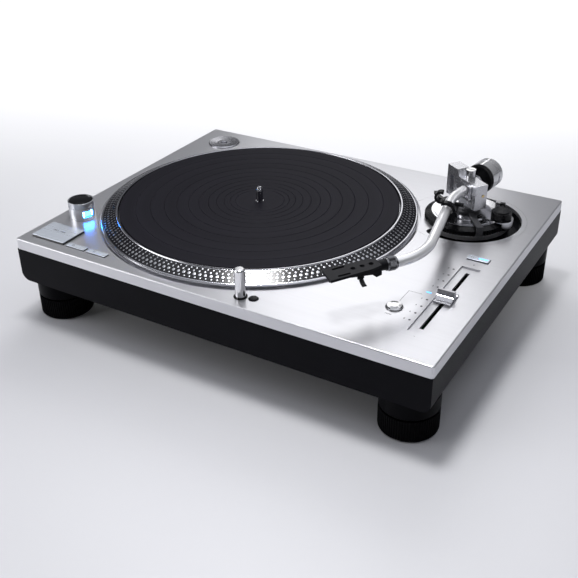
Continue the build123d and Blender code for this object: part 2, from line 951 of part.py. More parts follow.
def gimbal_ring():
    """Inner ring that turns about the upright pins."""
    middle = (0, (ring_back - ring_front) / 2)
    ring = block(2 * ring_half, ring_front + ring_back, up(ring_low), up(ring_high), middle)
    window_low = up(arm_height - shaft_radius - 0.8)
    window_high = up(arm_height + shaft_radius + 0.7)
    ring -= block(2 * ring_open_half, 60, window_low, window_high)
    ring += cyl(pin_radius, up(frame_low + 2), up(ring_low))
    ring += cyl(pin_radius, up(ring_high), up(frame_step))
    bore = Plane(origin=(-ring_half - 1, 0, axis_z), z_dir=(1, 0, 0))
    ring -= bore * Cylinder(pin_radius + running, 2 * ring_half + 2, align=UPRIGHT)
    return turned(ring)


# Arm
def s_tube(radius):
    """Solid round bar along the arm's S-shaped line."""
    points = [pivot, arm_bend, arm_elbow, collar_centre]
    path = FilletPolyline(*[(x, y, axis_z) for x, y in points], radius=bend_radii)
    start = Plane(origin=(pivot_x, pivot_y, axis_z), z_dir=(front_line[0], front_line[1], 0))
    return sweep(start * Circle(radius), path=path)


def arm_tube():
    """S-shaped tube with its cross pins and rear shaft."""
    arm = s_tube(tube_radius) - rod(tube_radius + 1, pivot, front_line, -1, neck_length)
    arm -= s_tube(tube_radius - tube_wall) - rod(tube_radius, pivot, front_line, -1, neck_length + 2)
    arm += rod(shaft_radius, pivot, front_line, -1, neck_length + 1)
    arm += rod(tube_radius, pivot, back_line, neck_back, sleeve_start - 3)
    arm += rod(shaft_radius, pivot, back_line, 0, shaft_length)
    pin = Plane(origin=(-ring_half + 1.5, 0, axis_z), z_dir=(1, 0, 0))
    arm += turned(pin * Cylinder(pin_radius, 2 * ring_half - 3, align=UPRIGHT))
    return arm


def locking_collar():
    """Ribbed ring that locks the headshell."""
    half = collar_length / 2
    collar = spool(collar_radius, 0.4, collar_rib_count, collar_centre, shell_line, -half + 2, half - 2)
    collar += rod(collar_radius - 0.7, collar_centre, shell_line, -half, half)
    return collar - rod(tube_radius + running, collar_centre, shell_line, -half - 1, half + 1)


def shell_frame():
    """Plane at the collar with X along the headshell."""
    return Plane(origin=(collar_centre[0], collar_centre[1], axis_z), x_dir=(shell_line[0], shell_line[1], 0))


def headshell():
    """Slotted head with a round neck and side gussets."""
    neck = Plane.YZ * Circle(shell_neck)
    neck = Pos(0.3, 0, 0) * extrude(neck, shell_start)
    half = shell_width / 2
    outline = [
        (0, -half + 3.5),
        (10, -half + 1),
        (shell_length, -half),
        (shell_length, half),
        (10, half - 1),
        (0, half - 3.5),
    ]
    plate = extrude(make_face(Polyline(*outline, close=True)), shell_thick)
    for side in (-1, 1):
        rail = [(0, 0), (0, -7.5), (5, -8.5), (9, -5.0), (30, -2.2), (shell_length, -1.6), (shell_length, 0)]
        wall = extrude(Plane.XZ * make_face(Polyline(*rail, close=True)), 1.1, both=True)
        plate += Pos(0, side * (half - 4.4), 0.2) * wall
    for side in (-1, 1):
        slot = Pos(shell_length - 14, side * slot_spacing / 2, 0) * SlotOverall(slot_length, slot_width)
        plate -= extrude(slot, 6, both=True)
    for index in range(3):
        plate -= Pos(7 + 8.5 * index, 0, 0) * Cylinder(2.3, 12)
    placed = Pos(shell_start, 0, shell_rise - shell_thick) * Rot(0, shell_slope, 0) * plate
    return shell_frame() * (neck + placed)


def finger_lift():
    """Curved finger tab beside the headshell."""
    half = shell_width / 2
    root = half - 1.0
    tip = half + finger_reach
    outline = RadiusArc((root, -3.0), (tip, -7.5), -9)
    outline += Line((tip, -7.5), (tip - 1.0, -8.2))
    outline += RadiusArc((tip - 1.0, -8.2), (root, -4.2), 7.8)
    outline += Line((root, -4.2), (root, -3.0))
    tab = extrude(Plane.YZ * make_face(outline), 2.0, both=True)
    tab += Pos(0, half - 1.4, -2.1) * Box(6, 1.2, 4.2)
    under = Pos(shell_start, 0, shell_rise - shell_thick) * Rot(0, shell_slope, 0)
    return shell_frame() * under * Pos(finger_place, 0, 0) * tab


def weight_sleeve():
    """Sleeve on the rear shaft that carries the weight."""
    finish = dial_start + dial_length + lift_gap + weight_length + 1
    sleeve = rod(sleeve_outer, pivot, back_line, sleeve_start, finish)
    return sleeve - rod(shaft_radius + running, pivot, back_line, sleeve_start - 1, finish + 1)


def weight_dial():
    """Ribbed dial in front of the weight."""
    finish = dial_start + dial_length
    dial = spool(weight_radius, 0.5, dial_rib_count, pivot, back_line, dial_start, finish)
    dial -= rod(sleeve_outer + running, pivot, back_line, dial_start - 1, finish + 1)
    return dial


def counterweight():
    """Round weight on the arm's rear end."""
    begin = dial_start + dial_length + lift_gap
    finish = begin + weight_length
    weight = rod(weight_radius, pivot, back_line, begin, finish)
    groove = rod(weight_radius + 1, pivot, back_line, finish - 9, finish - 9 + weight_groove)
    groove -= rod(weight_radius - 1, pivot, back_line, finish - 10, finish - 8 + weight_groove)
    weight -= groove
    weight -= rod(sleeve_outer + running, pivot, back_line, begin - 1, finish + 1)
    return weight


# Arm rest, clip, lift and levers
def rest_point():
    """Point on the tube's line over the rest."""
    distance = (arm_bend[1] - rest_y) / -mid_line[1]
    return along(arm_bend, mid_line, distance)


def rest_frame():
    """Plane across the tube at the rest: X sideways, Y up, Z forward."""
    place = rest_point()
    side = (-mid_line[1], mid_line[0], 0)
    return Plane(origin=(place[0], place[1], axis_z), x_dir=side, z_dir=(mid_line[0], mid_line[1], 0))


def arm_rest():
    """Post, bracket and saddle under the tube, with the clip's ears."""
    post = rest_post_centre()
    place = rest_point()
    low = up(base_top)
    bar_low = axis_z - 15
    bar_high = axis_z - 10.5
    rest = cyl(post_radius, low, bar_high, post)
    reach = hypot(place[0] - post[0], place[1] - post[1])
    line = heading(post, place)
    plane = Plane(origin=(post[0], post[1], bar_low), x_dir=(line[0], line[1], 0))
    bar = plane * Pos(reach / 2, 0, 0) * Box(reach, 5.0, bar_high - bar_low, align=UPRIGHT)
    rest += bar
    outer = tube_radius + 3.2
    saddle = Circle(outer) - Circle(tube_radius + lift_gap)
    keep = Pos(0, -outer) * Rectangle(4 * outer, 2 * outer)
    under = tube_radius + lift_gap
    saddle = (saddle & keep) - Pos(-outer, -under / 2) * Rectangle(2 * outer, under)
    saddle -= Pos(clip_hinge, 0) * Circle(2.3 + lift_gap)
    saddle += Pos(0, -outer - 1.8) * Rectangle(6.0, 6.5)
    saddle -= Circle(tube_radius + lift_gap)
    frame = rest_frame()
    half = rest_width / 2
    rest += frame * extrude(saddle, half, both=True)
    ear_half = clip_width / 2 + lift_gap
    ear = Pos(clip_hinge, 0) * Circle(2.4)
    strut = Pos(clip_hinge - 0.6, -4) * Rectangle(3.4, 8)
    link = Pos(clip_hinge - 2.8, -outer + 0.2) * Rectangle(8.0, 2.6)
    for side in (-1, 1):
        shift = Pos(0, 0, side * (ear_half + 0.8))
        rest += frame * shift * extrude(ear + strut, 0.8, both=True)
    rest += frame * extrude(link - Circle(tube_radius + lift_gap), ear_half + 1.6, both=True)
    pin = extrude(Pos(clip_hinge, 0) * Circle(1.1), ear_half + 0.5, both=True)
    return rest + frame * pin


def arm_clip():
    """Hooked clip over the tube, with a curled finger tab."""
    hook = Circle(clip_outer) - Circle(clip_inner)
    top = Pos(0, clip_outer) * Rectangle(4 * clip_outer, 2 * clip_outer)
    hook = hook & top
    hook -= Pos(-clip_outer - 4.6, 0) * Rectangle(2 * clip_outer, 4 * clip_outer)
    barrel = Pos(clip_hinge, 0) * Circle(2.3)
    curl_x = -5.2
    curl_y = clip_outer + 4.4
    curl = Pos(curl_x, curl_y) * (Circle(6.3) - Circle(3.9))
    curl -= Pos(curl_x + 9.0, curl_y + 2.2) * Rectangle(14, 14)
    shape = hook + barrel + curl
    shape -= Pos(clip_hinge, 0) * Circle(1.1 + running)
    return rest_frame() * extrude(shape, clip_width / 2, both=True)


def lift_bar():
    """Curved bar under the tube on its own post."""
    top = axis_z - tube_radius - lift_gap
    low = top - lift_thick
    outer = lift_circle + lift_width / 2
    inner = lift_circle - lift_width / 2
    bar = tube(outer, inner, low, top, pivot)
    steps = 4
    corners = [pivot]
    for index in range(steps + 1):
        corners.append(on_circle(2 * outer, -90 - lift_from - (lift_to - lift_from) * index / steps))
    bar = bar & (Pos(0, 0, low) * extrude(make_face(Polyline(*corners, close=True)), lift_thick))
    post = lift_post_centre()
    bar += cyl(lift_post, up(base_top - 4), top - 1, post)
    middle = on_circle(lift_circle - 3, -90 - 0.5 * lift_to)
    link = Pos(middle[0], middle[1], low) * Rot(0, 0, -0.5 * lift_to)
    return bar + link * Box(5.0, 8.0, lift_thick - 1, align=UPRIGHT)


def lock_lever():
    """Lever that locks the arm's height."""
    level = up(base_top + platform_thick + lift_gap)
    arm = tube(pedestal_radius + 3.5, pedestal_radius + lift_gap, level, level + lever_thick)
    root = -pedestal_radius - 1.5
    outline = [(-2.6, root), (-lever_width / 2, -lever_reach), (lever_width / 2, -lever_reach), (2.6, root)]
    arm += Pos(0, 0, level) * extrude(make_face(Polyline(*outline, close=True)), lever_thick)
    tip = level + lever_thick - up(lever_low)
    arm += Pos(0, 1.0 - lever_reach, up(lever_low)) * Box(lever_width, 2.0, tip, align=UPRIGHT)
    return Pos(pivot_x, pivot_y, 0) * Rot(0, 0, lock_angle) * arm


def cue_centre():
    """Centre of the cue lever's block."""
    return (pivot_x + cue_place[0], pivot_y + cue_place[1])


def cue_lever():
    """Cue lever on a level shaft behind the dial."""
    level = up(base_top + cue_height)
    centre = cue_centre()
    line = (cos(radians(cue_angle)), sin(radians(cue_angle)))
    start = cue_block[0] / 2 + lift_gap
    hub = rod(2.6, centre, line, start, start + cue_shaft, level)
    plane = Plane(origin=(centre[0], centre[1], level), x_dir=(line[0], line[1], 0))
    handle = Pos(start + cue_shaft / 2, 0, 0) * Rot(cue_rise, 0, 0) * Pos(0, -cue_reach / 2, 0)
    hub += plane * handle * Box(cue_shaft - 1.0, cue_reach, 2.0)
    axle = rod(1.2, centre, line, -cue_block[0] / 2, start + 1, level)
    return hub + axle


def mains_inlet():
    """Recessed two-pin inlet."""
    middle = foot_height + cabinet_height / 2
    start = half_depth - inlet_depth
    width = inlet_width - 2 * seam
    height = inlet_height - 2 * seam
    body = block(width, inlet_depth, middle - height / 2, middle + height / 2, (inlet_x, start + inlet_depth / 2))
    hollow_x = width - 2 * inlet_wall
    hollow_z = height - 2 * inlet_wall
    depth = inlet_depth - inlet_wall - 1
    centre = (inlet_x, half_depth - depth / 2 + 0.5)
    body -= block(hollow_x, depth + 1, middle - hollow_z / 2, middle + hollow_z / 2, centre)
    for side in (-1, 1):
        pin = rod(inlet_pin, (inlet_x + 5.0 * side, start), (0, 1), inlet_wall, inlet_depth - 5, middle)
        body += pin
    return body


def terminal_panel():
    """Shallow tray that carries the rear sockets."""
    middle = foot_height + cabinet_height / 2
    width = terminal_width - 2 * seam
    height = terminal_height - 2 * seam
    start = half_depth - terminal_depth
    centre = (terminal_x, start + terminal_depth / 2)
    tray = block(width, terminal_depth, middle - height / 2, middle + height / 2, centre)
    inner_x = width - 2 * terminal_sheet
    inner_z = height - 2 * terminal_sheet
    shift = (terminal_x, centre[1] + terminal_sheet)
    tray -= block(inner_x, terminal_depth, middle - inner_z / 2, middle + inner_z / 2, shift)
    for place in jack_places:
        tray -= rod(jack_radius - 1 + running, (terminal_x + place, start), (0, 1), -1, 3, middle)
    return tray - rod(2.0 + running, (terminal_x + ground_place, start), (0, 1), -1, 3, middle)


def phono_jacks():
    """Two phono sockets."""
    middle = foot_height + cabinet_height / 2
    start = half_depth - terminal_depth
    jacks = []
    for place in jack_places:
        base = (terminal_x + place, start)
        jack = rod(jack_flange, base, (0, 1), terminal_sheet, terminal_sheet + 1.5, middle)
        jack += rod(jack_radius, base, (0, 1), terminal_sheet, terminal_sheet + 1.5 + jack_reach, middle)
        jack += rod(jack_radius - 1, base, (0, 1), -3, terminal_sheet + 1, middle)
        jack -= rod(1.7, base, (0, 1), terminal_sheet + 3, terminal_sheet + 3 + jack_reach, middle)
        jacks.append(jack)
    return Compound(children=jacks)


def ground_post():
    """Earth terminal with its thumb nut."""
    middle = foot_height + cabinet_height / 2
    base = (terminal_x + ground_place, half_depth - terminal_depth)
    post = rod(2.0, base, (0, 1), -3, terminal_sheet + 8, middle)
    return post + rod(4.2, base, (0, 1), terminal_sheet, terminal_sheet + 5.5, middle)


def circuit_board():
    """Control board on its stand-offs."""
    low = floor_top + board_stand
    board = block(board_size[0], board_size[1], low, low + board_size[2], board_centre)
    for x, y, height in board_parts:
        place = (board_centre[0] + x, board_centre[1] + y)
        board += block(board_part[0], board_part[1], low, low + board_size[2] + height, place)
    return board


def transformer():
    """Mains transformer on the cabinet floor."""
    size = transformer_size
    core = block(size[0], size[1] * 0.6, floor_top, floor_top + size[2], transformer_centre)
    return core + block(size[0] * 0.6, size[1], floor_top + 3, floor_top + size[2] - 3, transformer_centre)


def foot_cap(place):
    """Upper part of a foot, with its stud and centre pin."""
    low = foot_height - lift_gap - foot_upper
    cap = cyl(foot_radius, low, foot_height - lift_gap, place)
    cap = fillet(cap.edges().filter_by(GeomType.CIRCLE), 0.8)
    cap += cyl(stud_radius, foot_height - lift_gap - 1, foot_height + stud_length, place)
    return cap + cyl(foot_pin, low - foot_pin_length, low + 1, place)


def foot_base(place):
    """Lower ribbed part of a foot."""
    top = foot_height - 2 * lift_gap - foot_upper
    shoulder = top - foot_neck
    base = ribbed(foot_radius, foot_rib_depth, foot_rib_count, 1.6, shoulder, place)
    base += lathe([(0, 0), (foot_radius - 2.4, 0), (foot_radius - foot_rib_depth, 1.7), (0, 1.7)], place)
    base += cyl(foot_radius - 2.5, shoulder - 1, top, place)
    return base - cyl(foot_pin + running, top - foot_pin_length - 1, top + 1, place)


os.makedirs("parts", exist_ok=True)

nodes = {
    "top_panel": top_panel(),
    "arm_panel": arm_panel(),
    "arm_bowl": arm_bowl(),
    "cabinet": cabinet(),
    "bottom_cover": bottom_cover(),
    "cover_screws": cover_screws(),
    "motor_plate": motor_plate(),
    "bearing_housing": bearing_housing(),
    "motor_stator": motor_stator(),
    "stator_coils": stator_coils(),
    "circuit_board": circuit_board(),
    "transformer": transformer(),
    "terminal_panel": terminal_panel(),
    "phono_jacks": phono_jacks(),
    "ground_post": ground_post(),
    "mains_inlet": mains_inlet(),
    "platter": platter(),
    "platter_mat": platter_mat(),
    "spindle": spindle(),
    "rotor_magnet": rotor_magnet(),
    "strobe_housing": strobe_housing(),
    "strobe_window": strobe_window(),
    "power_knob": power_knob(),
    "start_stop_button": box_button(start_size, start_centre, 2.6),
    "speed_33_button": box_button(speed_size, speed_33_centre, 1.4),
    "speed_45_button": box_button(speed_size, speed_45_centre, 1.4),
    "range_button": box_button(range_size, range_centre, 1.4),
    "reset_button": round_button(reset_radius, reset_centre, 2.6, 1.4),
    "light_button": round_button(light_button_radius, light_button_centre, 1.4, 0.9),
    "target_light": target_light(),
    "light_sleeve": light_sleeve(),
    "pitch_knob": pitch_knob(),
    "single_adapter": single_adapter(),
    "height_ring": height_ring(),
    "arm_base": arm_base(),
    "anti_skate_dial": anti_skate_dial(),
    "gimbal_frame": gimbal_frame(),
    "pivot_screw": pivot_screw(),
    "gimbal_ring": gimbal_ring(),
    "arm_tube": arm_tube(),
    "locking_collar": locking_collar(),
    "headshell": headshell(),
    "finger_lift": finger_lift(),
    "weight_sleeve": weight_sleeve(),
    "weight_dial": weight_dial(),
    "counterweight": counterweight(),
    "arm_rest": arm_rest(),
    "arm_clip": arm_clip(),
    "lift_bar": lift_bar(),
    "lock_lever": lock_lever(),
    "cue_lever": cue_lever(),
}
for foot_name, foot_place in foot_places():
    nodes["foot_cap_" + foot_name] = foot_cap(foot_place)
    nodes["foot_base_" + foot_name] = foot_base(foot_place)

for node_name, shape in nodes.items():
    export_step(shape, "parts/" + node_name + ".step")
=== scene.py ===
"""Direct-drive turntable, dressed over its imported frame.

Every size is in millimetres in the row frame and becomes metres where Blender takes it.
"""
import logging
import math
from dataclasses import dataclass
from enum import Enum
from typing import Iterable, Sequence

import bpy
from mathutils import Matrix, Vector


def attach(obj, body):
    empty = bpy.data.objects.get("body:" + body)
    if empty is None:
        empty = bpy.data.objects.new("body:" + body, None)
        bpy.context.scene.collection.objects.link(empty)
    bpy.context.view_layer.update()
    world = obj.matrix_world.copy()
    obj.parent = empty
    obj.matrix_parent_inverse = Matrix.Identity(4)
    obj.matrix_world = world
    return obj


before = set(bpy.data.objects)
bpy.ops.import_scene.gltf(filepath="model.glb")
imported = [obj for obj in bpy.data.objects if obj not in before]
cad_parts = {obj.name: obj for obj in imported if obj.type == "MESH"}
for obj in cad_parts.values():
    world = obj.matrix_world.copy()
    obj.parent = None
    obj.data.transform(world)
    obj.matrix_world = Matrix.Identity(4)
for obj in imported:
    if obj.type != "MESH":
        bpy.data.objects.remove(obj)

LOG = logging.getLogger("turntable")

Colour = tuple[float, float, float]
Point = tuple[float, float, float]
Flat = tuple[float, float]
Socket = bpy.types.NodeSocket

# One millimetre in metres, the height of the plate's top, and the axis of the platter.
MM = 0.001
PLATE = 87.0
HUB = (-47.0, 1.0)

# Part of a noise's range that a colour or a roughness is spread over.
WIDE = (0.3, 0.7)
NARROW = (0.35, 0.65)
WHOLE = (0.0, 1.0)

# A Mix node's sockets for its two colours, and for their blend.
MIX_COLOURS = (6, 7)
MIX_RESULT = 2

# Angles in degrees over which an edge is sharp: on a new piece, on a node, and on a dot.
SHARP = 35.0
NODE_SHARP = 40.0
DOT_SHARP = 50.0

# Faces across a bevel, and the gap that a node's loose triangles are welded over.
ROUND_STEPS = 2
WELD_GAP = 0.001

# Thickness of a print, and the faces along a letter's curve.
PRINT = 0.04
LETTER_STEPS = 3


class Turn(Enum):
    """Axis that a brushed grain follows."""

    X = 0
    Y = 1
    Z = 2


class Octaves(Enum):
    """Detail of a noise."""

    ONE = 1.0
    TWO = 2.0
    THREE = 3.0
    FOUR = 4.0


def metres(point: Sequence[float]) -> Vector:
    """Return a point given in millimetres as a vector in metres."""
    return Vector(point) * MM


def tint(colour: Colour, share: float) -> Colour:
    """Return a colour made lighter or darker by a share."""
    return tuple(min(1.0, max(0.0, part * share)) for part in colour)


class Nodes:
    """Node tree, with short calls for the nodes used here."""

    def __init__(self, tree: bpy.types.NodeTree, place: str) -> None:
        """Empty a tree.

        Args:
            tree: Tree to fill.
            place: Name of the coordinates that it reads.
        """
        self.tree = tree
        self.tree.nodes.clear()
        self.place = self.add("TexCoord").outputs[place]

    def add(self, kind: str) -> bpy.types.Node:
        """Add a node of a kind, such as Math."""
        return self.tree.nodes.new("ShaderNode" + kind)

    def join(self, source: Socket, target: Socket) -> None:
        """Link two sockets."""
        self.tree.links.new(source, target)

    def feed(self, target: Socket, value: Socket | Colour | float) -> None:
        """Link a socket to a target, or set the target to a colour or a number."""
        if isinstance(value, Socket):
            self.join(value, target)
        elif isinstance(value, tuple):
            target.default_value = (*value, 1.0)
        else:
            target.default_value = value

    def axis(self, name: str) -> Socket:
        """Return one of the three coordinates."""
        split = self.add("SeparateXYZ")
        self.join(self.place, split.inputs["Vector"])
        return split.outputs[name]

    def maths(self, step: str, first: Socket | float, second: Socket | float = 0.0) -> Socket:
        """Return the result of one arithmetic step."""
        node = self.add("Math")
        node.operation = step
        self.feed(node.inputs[0], first)
        self.feed(node.inputs[1], second)
        return node.outputs["Value"]

    def mean(self, first: Socket, second: Socket) -> Socket:
        """Return the mean of two values."""
        return self.maths("MULTIPLY", self.maths("ADD", first, second), 0.5)

    def spread(
        self, value: Socket, low: float, high: float, window: Flat = WIDE, soft: bool = False
    ) -> Socket:
        """Return a value carried from one range to another.

        Args:
            value: Socket to change.
            low: Result at the window's start.
            high: Result at the window's end.
            window: Start and end of the range read.
            soft: Whether the change eases in and out.

        Returns:
            The new value's socket.
        """
        node = self.add("MapRange")
        node.interpolation_type = "SMOOTHSTEP" if soft else "LINEAR"
        limits = (*window, low, high)
        for name, limit in zip(("From Min", "From Max", "To Min", "To Max"), limits):
            node.inputs[name].default_value = limit
        self.join(value, node.inputs["Value"])
        return node.outputs["Result"]


class Recipe(Nodes):
    """Material with a principled shader, patterned on object coordinates in metres."""

    def __init__(self, name: str) -> None:
        """Start the material.

        Args:
            name: Its name.
        """
        self.material = bpy.data.materials.new(name)
        self.material.use_nodes = True
        super().__init__(self.material.node_tree, "Object")
        self.shader = self.add("BsdfPrincipled")
        self.join(self.shader.outputs["BSDF"], self.add("OutputMaterial").inputs["Surface"])

    def noise(self, cells: float | Point, detail: Octaves = Octaves.TWO) -> Socket:
        """Return noise between 0 and 1.

        Args:
            cells: Cells per metre, as one number or one for each axis.
            detail: Detail of the noise.

        Returns:
            The value's socket.
        """
        sized = self.add("VectorMath")
        sized.operation = "MULTIPLY"
        sized.inputs[1].default_value = cells if isinstance(cells, tuple) else (cells,) * 3
        self.join(self.place, sized.inputs[0])
        node = self.add("TexNoise")
        node.inputs["Scale"].default_value = 1.0
        node.inputs["Detail"].default_value = detail.value
        self.join(sized.outputs["Vector"], node.inputs["Vector"])
        return node.outputs["Fac"]

    def rings(self, value: Socket, cells: float, detail: Octaves = Octaves.THREE) -> Socket:
        """Return noise that changes along one value only, such as a radius."""
        node = self.add("TexNoise")
        node.noise_dimensions = "1D"
        node.inputs["Scale"].default_value = cells
        node.inputs["Detail"].default_value = detail.value
        self.join(value, node.inputs["W"])
        return node.outputs["Fac"]

    def blend(self, factor: Socket, first: Socket | Colour, second: Socket | Colour) -> Socket:
        """Return a colour between two others."""
        node = self.add("Mix")
        node.data_type = "RGBA"
        self.feed(node.inputs["Factor"], factor)
        for index, colour in zip(MIX_COLOURS, (first, second)):
            self.feed(node.inputs[index], colour)
        return node.outputs[MIX_RESULT]

    def radius(self, centre: Flat) -> Socket:
        """Return the distance from an upright axis through a centre."""
        across = self.maths("SUBTRACT", self.axis("X"), centre[0] * MM)
        away = self.maths("SUBTRACT", self.axis("Y"), centre[1] * MM)
        squares = [self.maths("MULTIPLY", part, part) for part in (across, away)]
        return self.maths("SQRT", self.maths("ADD", *squares))

    def band(self, value: Socket, low: float, high: float) -> Socket:
        """Return 1 where a value lies between two sizes in millimetres, and 0 elsewhere."""
        over = self.maths("GREATER_THAN", value, low * MM)
        under = self.maths("LESS_THAN", value, high * MM)
        return self.maths("MULTIPLY", over, under)

    def bump(self, height: Socket, strength: float, depth: float) -> None:
        """Raise the surface by a pattern.

        Args:
            height: Pattern between 0 and 1.
            strength: Share of the effect.
            depth: Depth of the pattern in millimetres.
        """
        node = self.add("Bump")
        node.inputs["Strength"].default_value = strength
        node.inputs["Distance"].default_value = depth * MM
        self.join(height, node.inputs["Height"])
        self.join(node.outputs["Normal"], self.shader.inputs["Normal"])

    def set(self, **values: Socket | Colour | float) -> None:
        """Set or link the shader's sockets by name, with underscores for spaces."""
        for name, value in values.items():
            self.feed(self.shader.inputs[name.replace("_", " ")], value)


@dataclass(frozen=True)
class Finish:
    """Base of every finish.

    Attributes:
        name: Name of the material.
        slot: Slot of the record that the finish belongs to; not used by the script.
        colour: Base colour.
        roughness: Mean roughness.
        tones: Shares of the colour at the pattern's two ends.
        wear: Change of roughness at the pattern's two ends.
        press: Strength of the raised pattern.
        depth: Depth of the raised pattern in millimetres.
    """

    name: str
    slot: str
    colour: Colour
    roughness: float
    tones: Flat = (1.0, 1.0)
    wear: Flat = (0.0, 0.0)
    press: float = 0.0
    depth: float = 0.0

    def build(self) -> bpy.types.Material:
        """Return the material, made on first use."""
        known = bpy.data.materials.get(self.name)
        if known is not None:
            return known
        recipe = Recipe(self.name)
        self.paint(recipe)
        return recipe.material

    def paint(self, recipe: Recipe) -> None:
        """Fill the node tree."""
        raise NotImplementedError

    def shades(self, recipe: Recipe, pattern: Socket, window: Flat = WIDE) -> Socket:
        """Return the colour between its two tones, as a pattern has it."""
        dark, light = (tint(self.colour, share) for share in self.tones)
        return recipe.blend(recipe.spread(pattern, *WHOLE, window), dark, light)

    def sheen(self, recipe: Recipe, pattern: Socket, window: Flat = WIDE) -> Socket:
        """Return the roughness between its two ends, as a pattern has it."""
        first, last = (self.roughness + change for change in self.wear)
        return recipe.spread(pattern, first, last, window)


@dataclass(frozen=True)
class Brushed(Finish):
    """Metal brushed along one axis.

    Attributes:
        grain: Axis that the brush lines follow.
        metal: Share of metal, the rest being a matt blasted surface.
        skirt: Height over the table in millimetres below which the sides are painted black:
            partly the button's own black sides, partly painted shade in the gap round it.
        under: Colour of those sides, a black that is partly their own colour and partly painted
            shade.
        fine: Cells per metre of the fine lines, across and along the grain.
        broad: Cells per metre of the broad lines, across and along the grain.
    """

    tones: Flat = (0.94, 1.06)
    wear: Flat = (0.05, -0.05)
    press: float = 0.35
    depth: float = 0.004
    grain: Turn = Turn.X
    metal: float = 1.0
    skirt: float = 0.0
    under: Colour = (0.004, 0.004, 0.005)
    fine: Flat = (2600.0, 14.0)
    broad: Flat = (420.0, 3.0)

    def lines(self, recipe: Recipe, cells: Flat, detail: Octaves) -> Socket:
        """Return noise drawn out along the grain."""
        across, along = cells
        sizes = [across] * 3
        sizes[self.grain.value] = along
        return recipe.noise(tuple(sizes), detail)

    def paint(self, recipe: Recipe) -> None:
        """Draw long fine lines in colour, roughness and height."""
        fine = self.lines(recipe, self.fine, Octaves.THREE)
        both = recipe.mean(fine, self.lines(recipe, self.broad, Octaves.TWO))
        # Below the skirt the colour is black and not metal: partly the button's own black
        # sides, partly painted shade in the gap round the button.
        top = recipe.maths("GREATER_THAN", recipe.axis("Z"), self.skirt * MM)
        recipe.set(
            Base_Color=recipe.blend(top, self.under, self.shades(recipe, both, NARROW)),
            Roughness=self.sheen(recipe, both, NARROW),
            Metallic=recipe.maths("MULTIPLY", top, self.metal),
        )
        recipe.bump(fine, self.press, self.depth)


@dataclass(frozen=True)
class Turned(Finish):
    """Metal turned on a lathe, with fine rings round an upright axis.

    Attributes:
        centre: Axis of the rings.
        pitch: Rings per metre.
    """

    tones: Flat = (0.9, 1.1)
    wear: Flat = (-0.04, 0.05)
    press: float = 0.3
    depth: float = 0.01
    centre: Flat = (0.0, 0.0)
    pitch: float = 1400.0

    def paint(self, recipe: Recipe) -> None:
        """Draw rings in colour, roughness and height."""
        rings = recipe.rings(recipe.radius(self.centre), self.pitch)
        recipe.set(
            Base_Color=self.shades(recipe, rings, NARROW),
            Roughness=self.sheen(recipe, rings),
            Metallic=1.0,
        )
        recipe.bump(rings, self.press, self.depth)


@dataclass(frozen=True)
class StrobeRim(Turned):
    """Turned platter metal with a black band between its bright rings.

    Attributes:
        band: Inner and outer radius of the black band.
        ground: Colour of the band.
        shine: Strength of the band's plain reflections.
    """

    wear: Flat = (-0.04, 0.04)
    press: float = 0.2
    pitch: float = 1500.0
    band: Flat = (151.2, 164.7)
    ground: Colour = (0.004, 0.004, 0.006)
    shine: float = 0.4

    def paint(self, recipe: Recipe) -> None:
        """Paint the band over turned metal."""
        radius = recipe.radius(self.centre)
        rings = recipe.rings(radius, self.pitch)
        inside = recipe.band(radius, *self.band)
        recipe.set(
            Base_Color=recipe.blend(inside, self.shades(recipe, rings), self.ground),
            Roughness=self.sheen(recipe, rings),
            Metallic=recipe.spread(inside, 1.0, 0.0, WHOLE),
            Specular_IOR_Level=self.shine,
        )
        recipe.bump(rings, self.press, self.depth)


@dataclass(frozen=True)
class Metal(Finish):
    """Cast, plated or polished metal with faint handling marks.

    Attributes:
        grain: Cells per metre of its grain.
        cloud: Cells per metre of its marks.
        metal: Share of metal, the rest being a matt blasted surface.
    """

    tones: Flat = (0.96, 1.03)
    wear: Flat = (0.0, 0.05)
    press: float = 0.25
    depth: float = 0.0005
    grain: float = 900.0
    cloud: float = 45.0
    metal: float = 1.0

    def paint(self, recipe: Recipe) -> None:
        """Draw a faint cloud in roughness and a fine grain in height."""
        cloud = recipe.noise(self.cloud, Octaves.FOUR)
        recipe.set(
            Base_Color=self.shades(recipe, cloud),
            Roughness=self.sheen(recipe, cloud),
            Metallic=self.metal,
        )
        recipe.bump(recipe.noise(self.grain), self.press, self.depth)


@dataclass(frozen=True)
class Moulded(Finish):
    """Plastic, paint or rubber with a fine moulded texture.

    Attributes:
        grain: Cells per metre of its texture.
        cloud: Cells per metre of its changes of colour.
        shine: Strength of its plain reflections.
        coat: Weight of a clear gloss over it.
        coat_roughness: Roughness of that gloss.
    """

    tones: Flat = (0.88, 1.12)
    wear: Flat = (-0.05, 0.06)
    press: float = 0.5
    depth: float = 0.02
    grain: float = 1500.0
    cloud: float = 30.0
    shine: float = 0.25
    coat: float = 0.0
    coat_roughness: float = 0.06

    def paint(self, recipe: Recipe) -> None:
        """Draw a fine grain with slow changes of colour."""
        fine = recipe.noise(self.grain, Octaves.THREE)
        recipe.set(
            Base_Color=self.shades(recipe, recipe.noise(self.cloud, Octaves.FOUR)),
            Roughness=self.sheen(recipe, fine),
            Specular_IOR_Level=self.shine,
            Coat_Weight=self.coat,
            Coat_Roughness=self.coat_roughness,
        )
        recipe.bump(fine, self.press, self.depth)


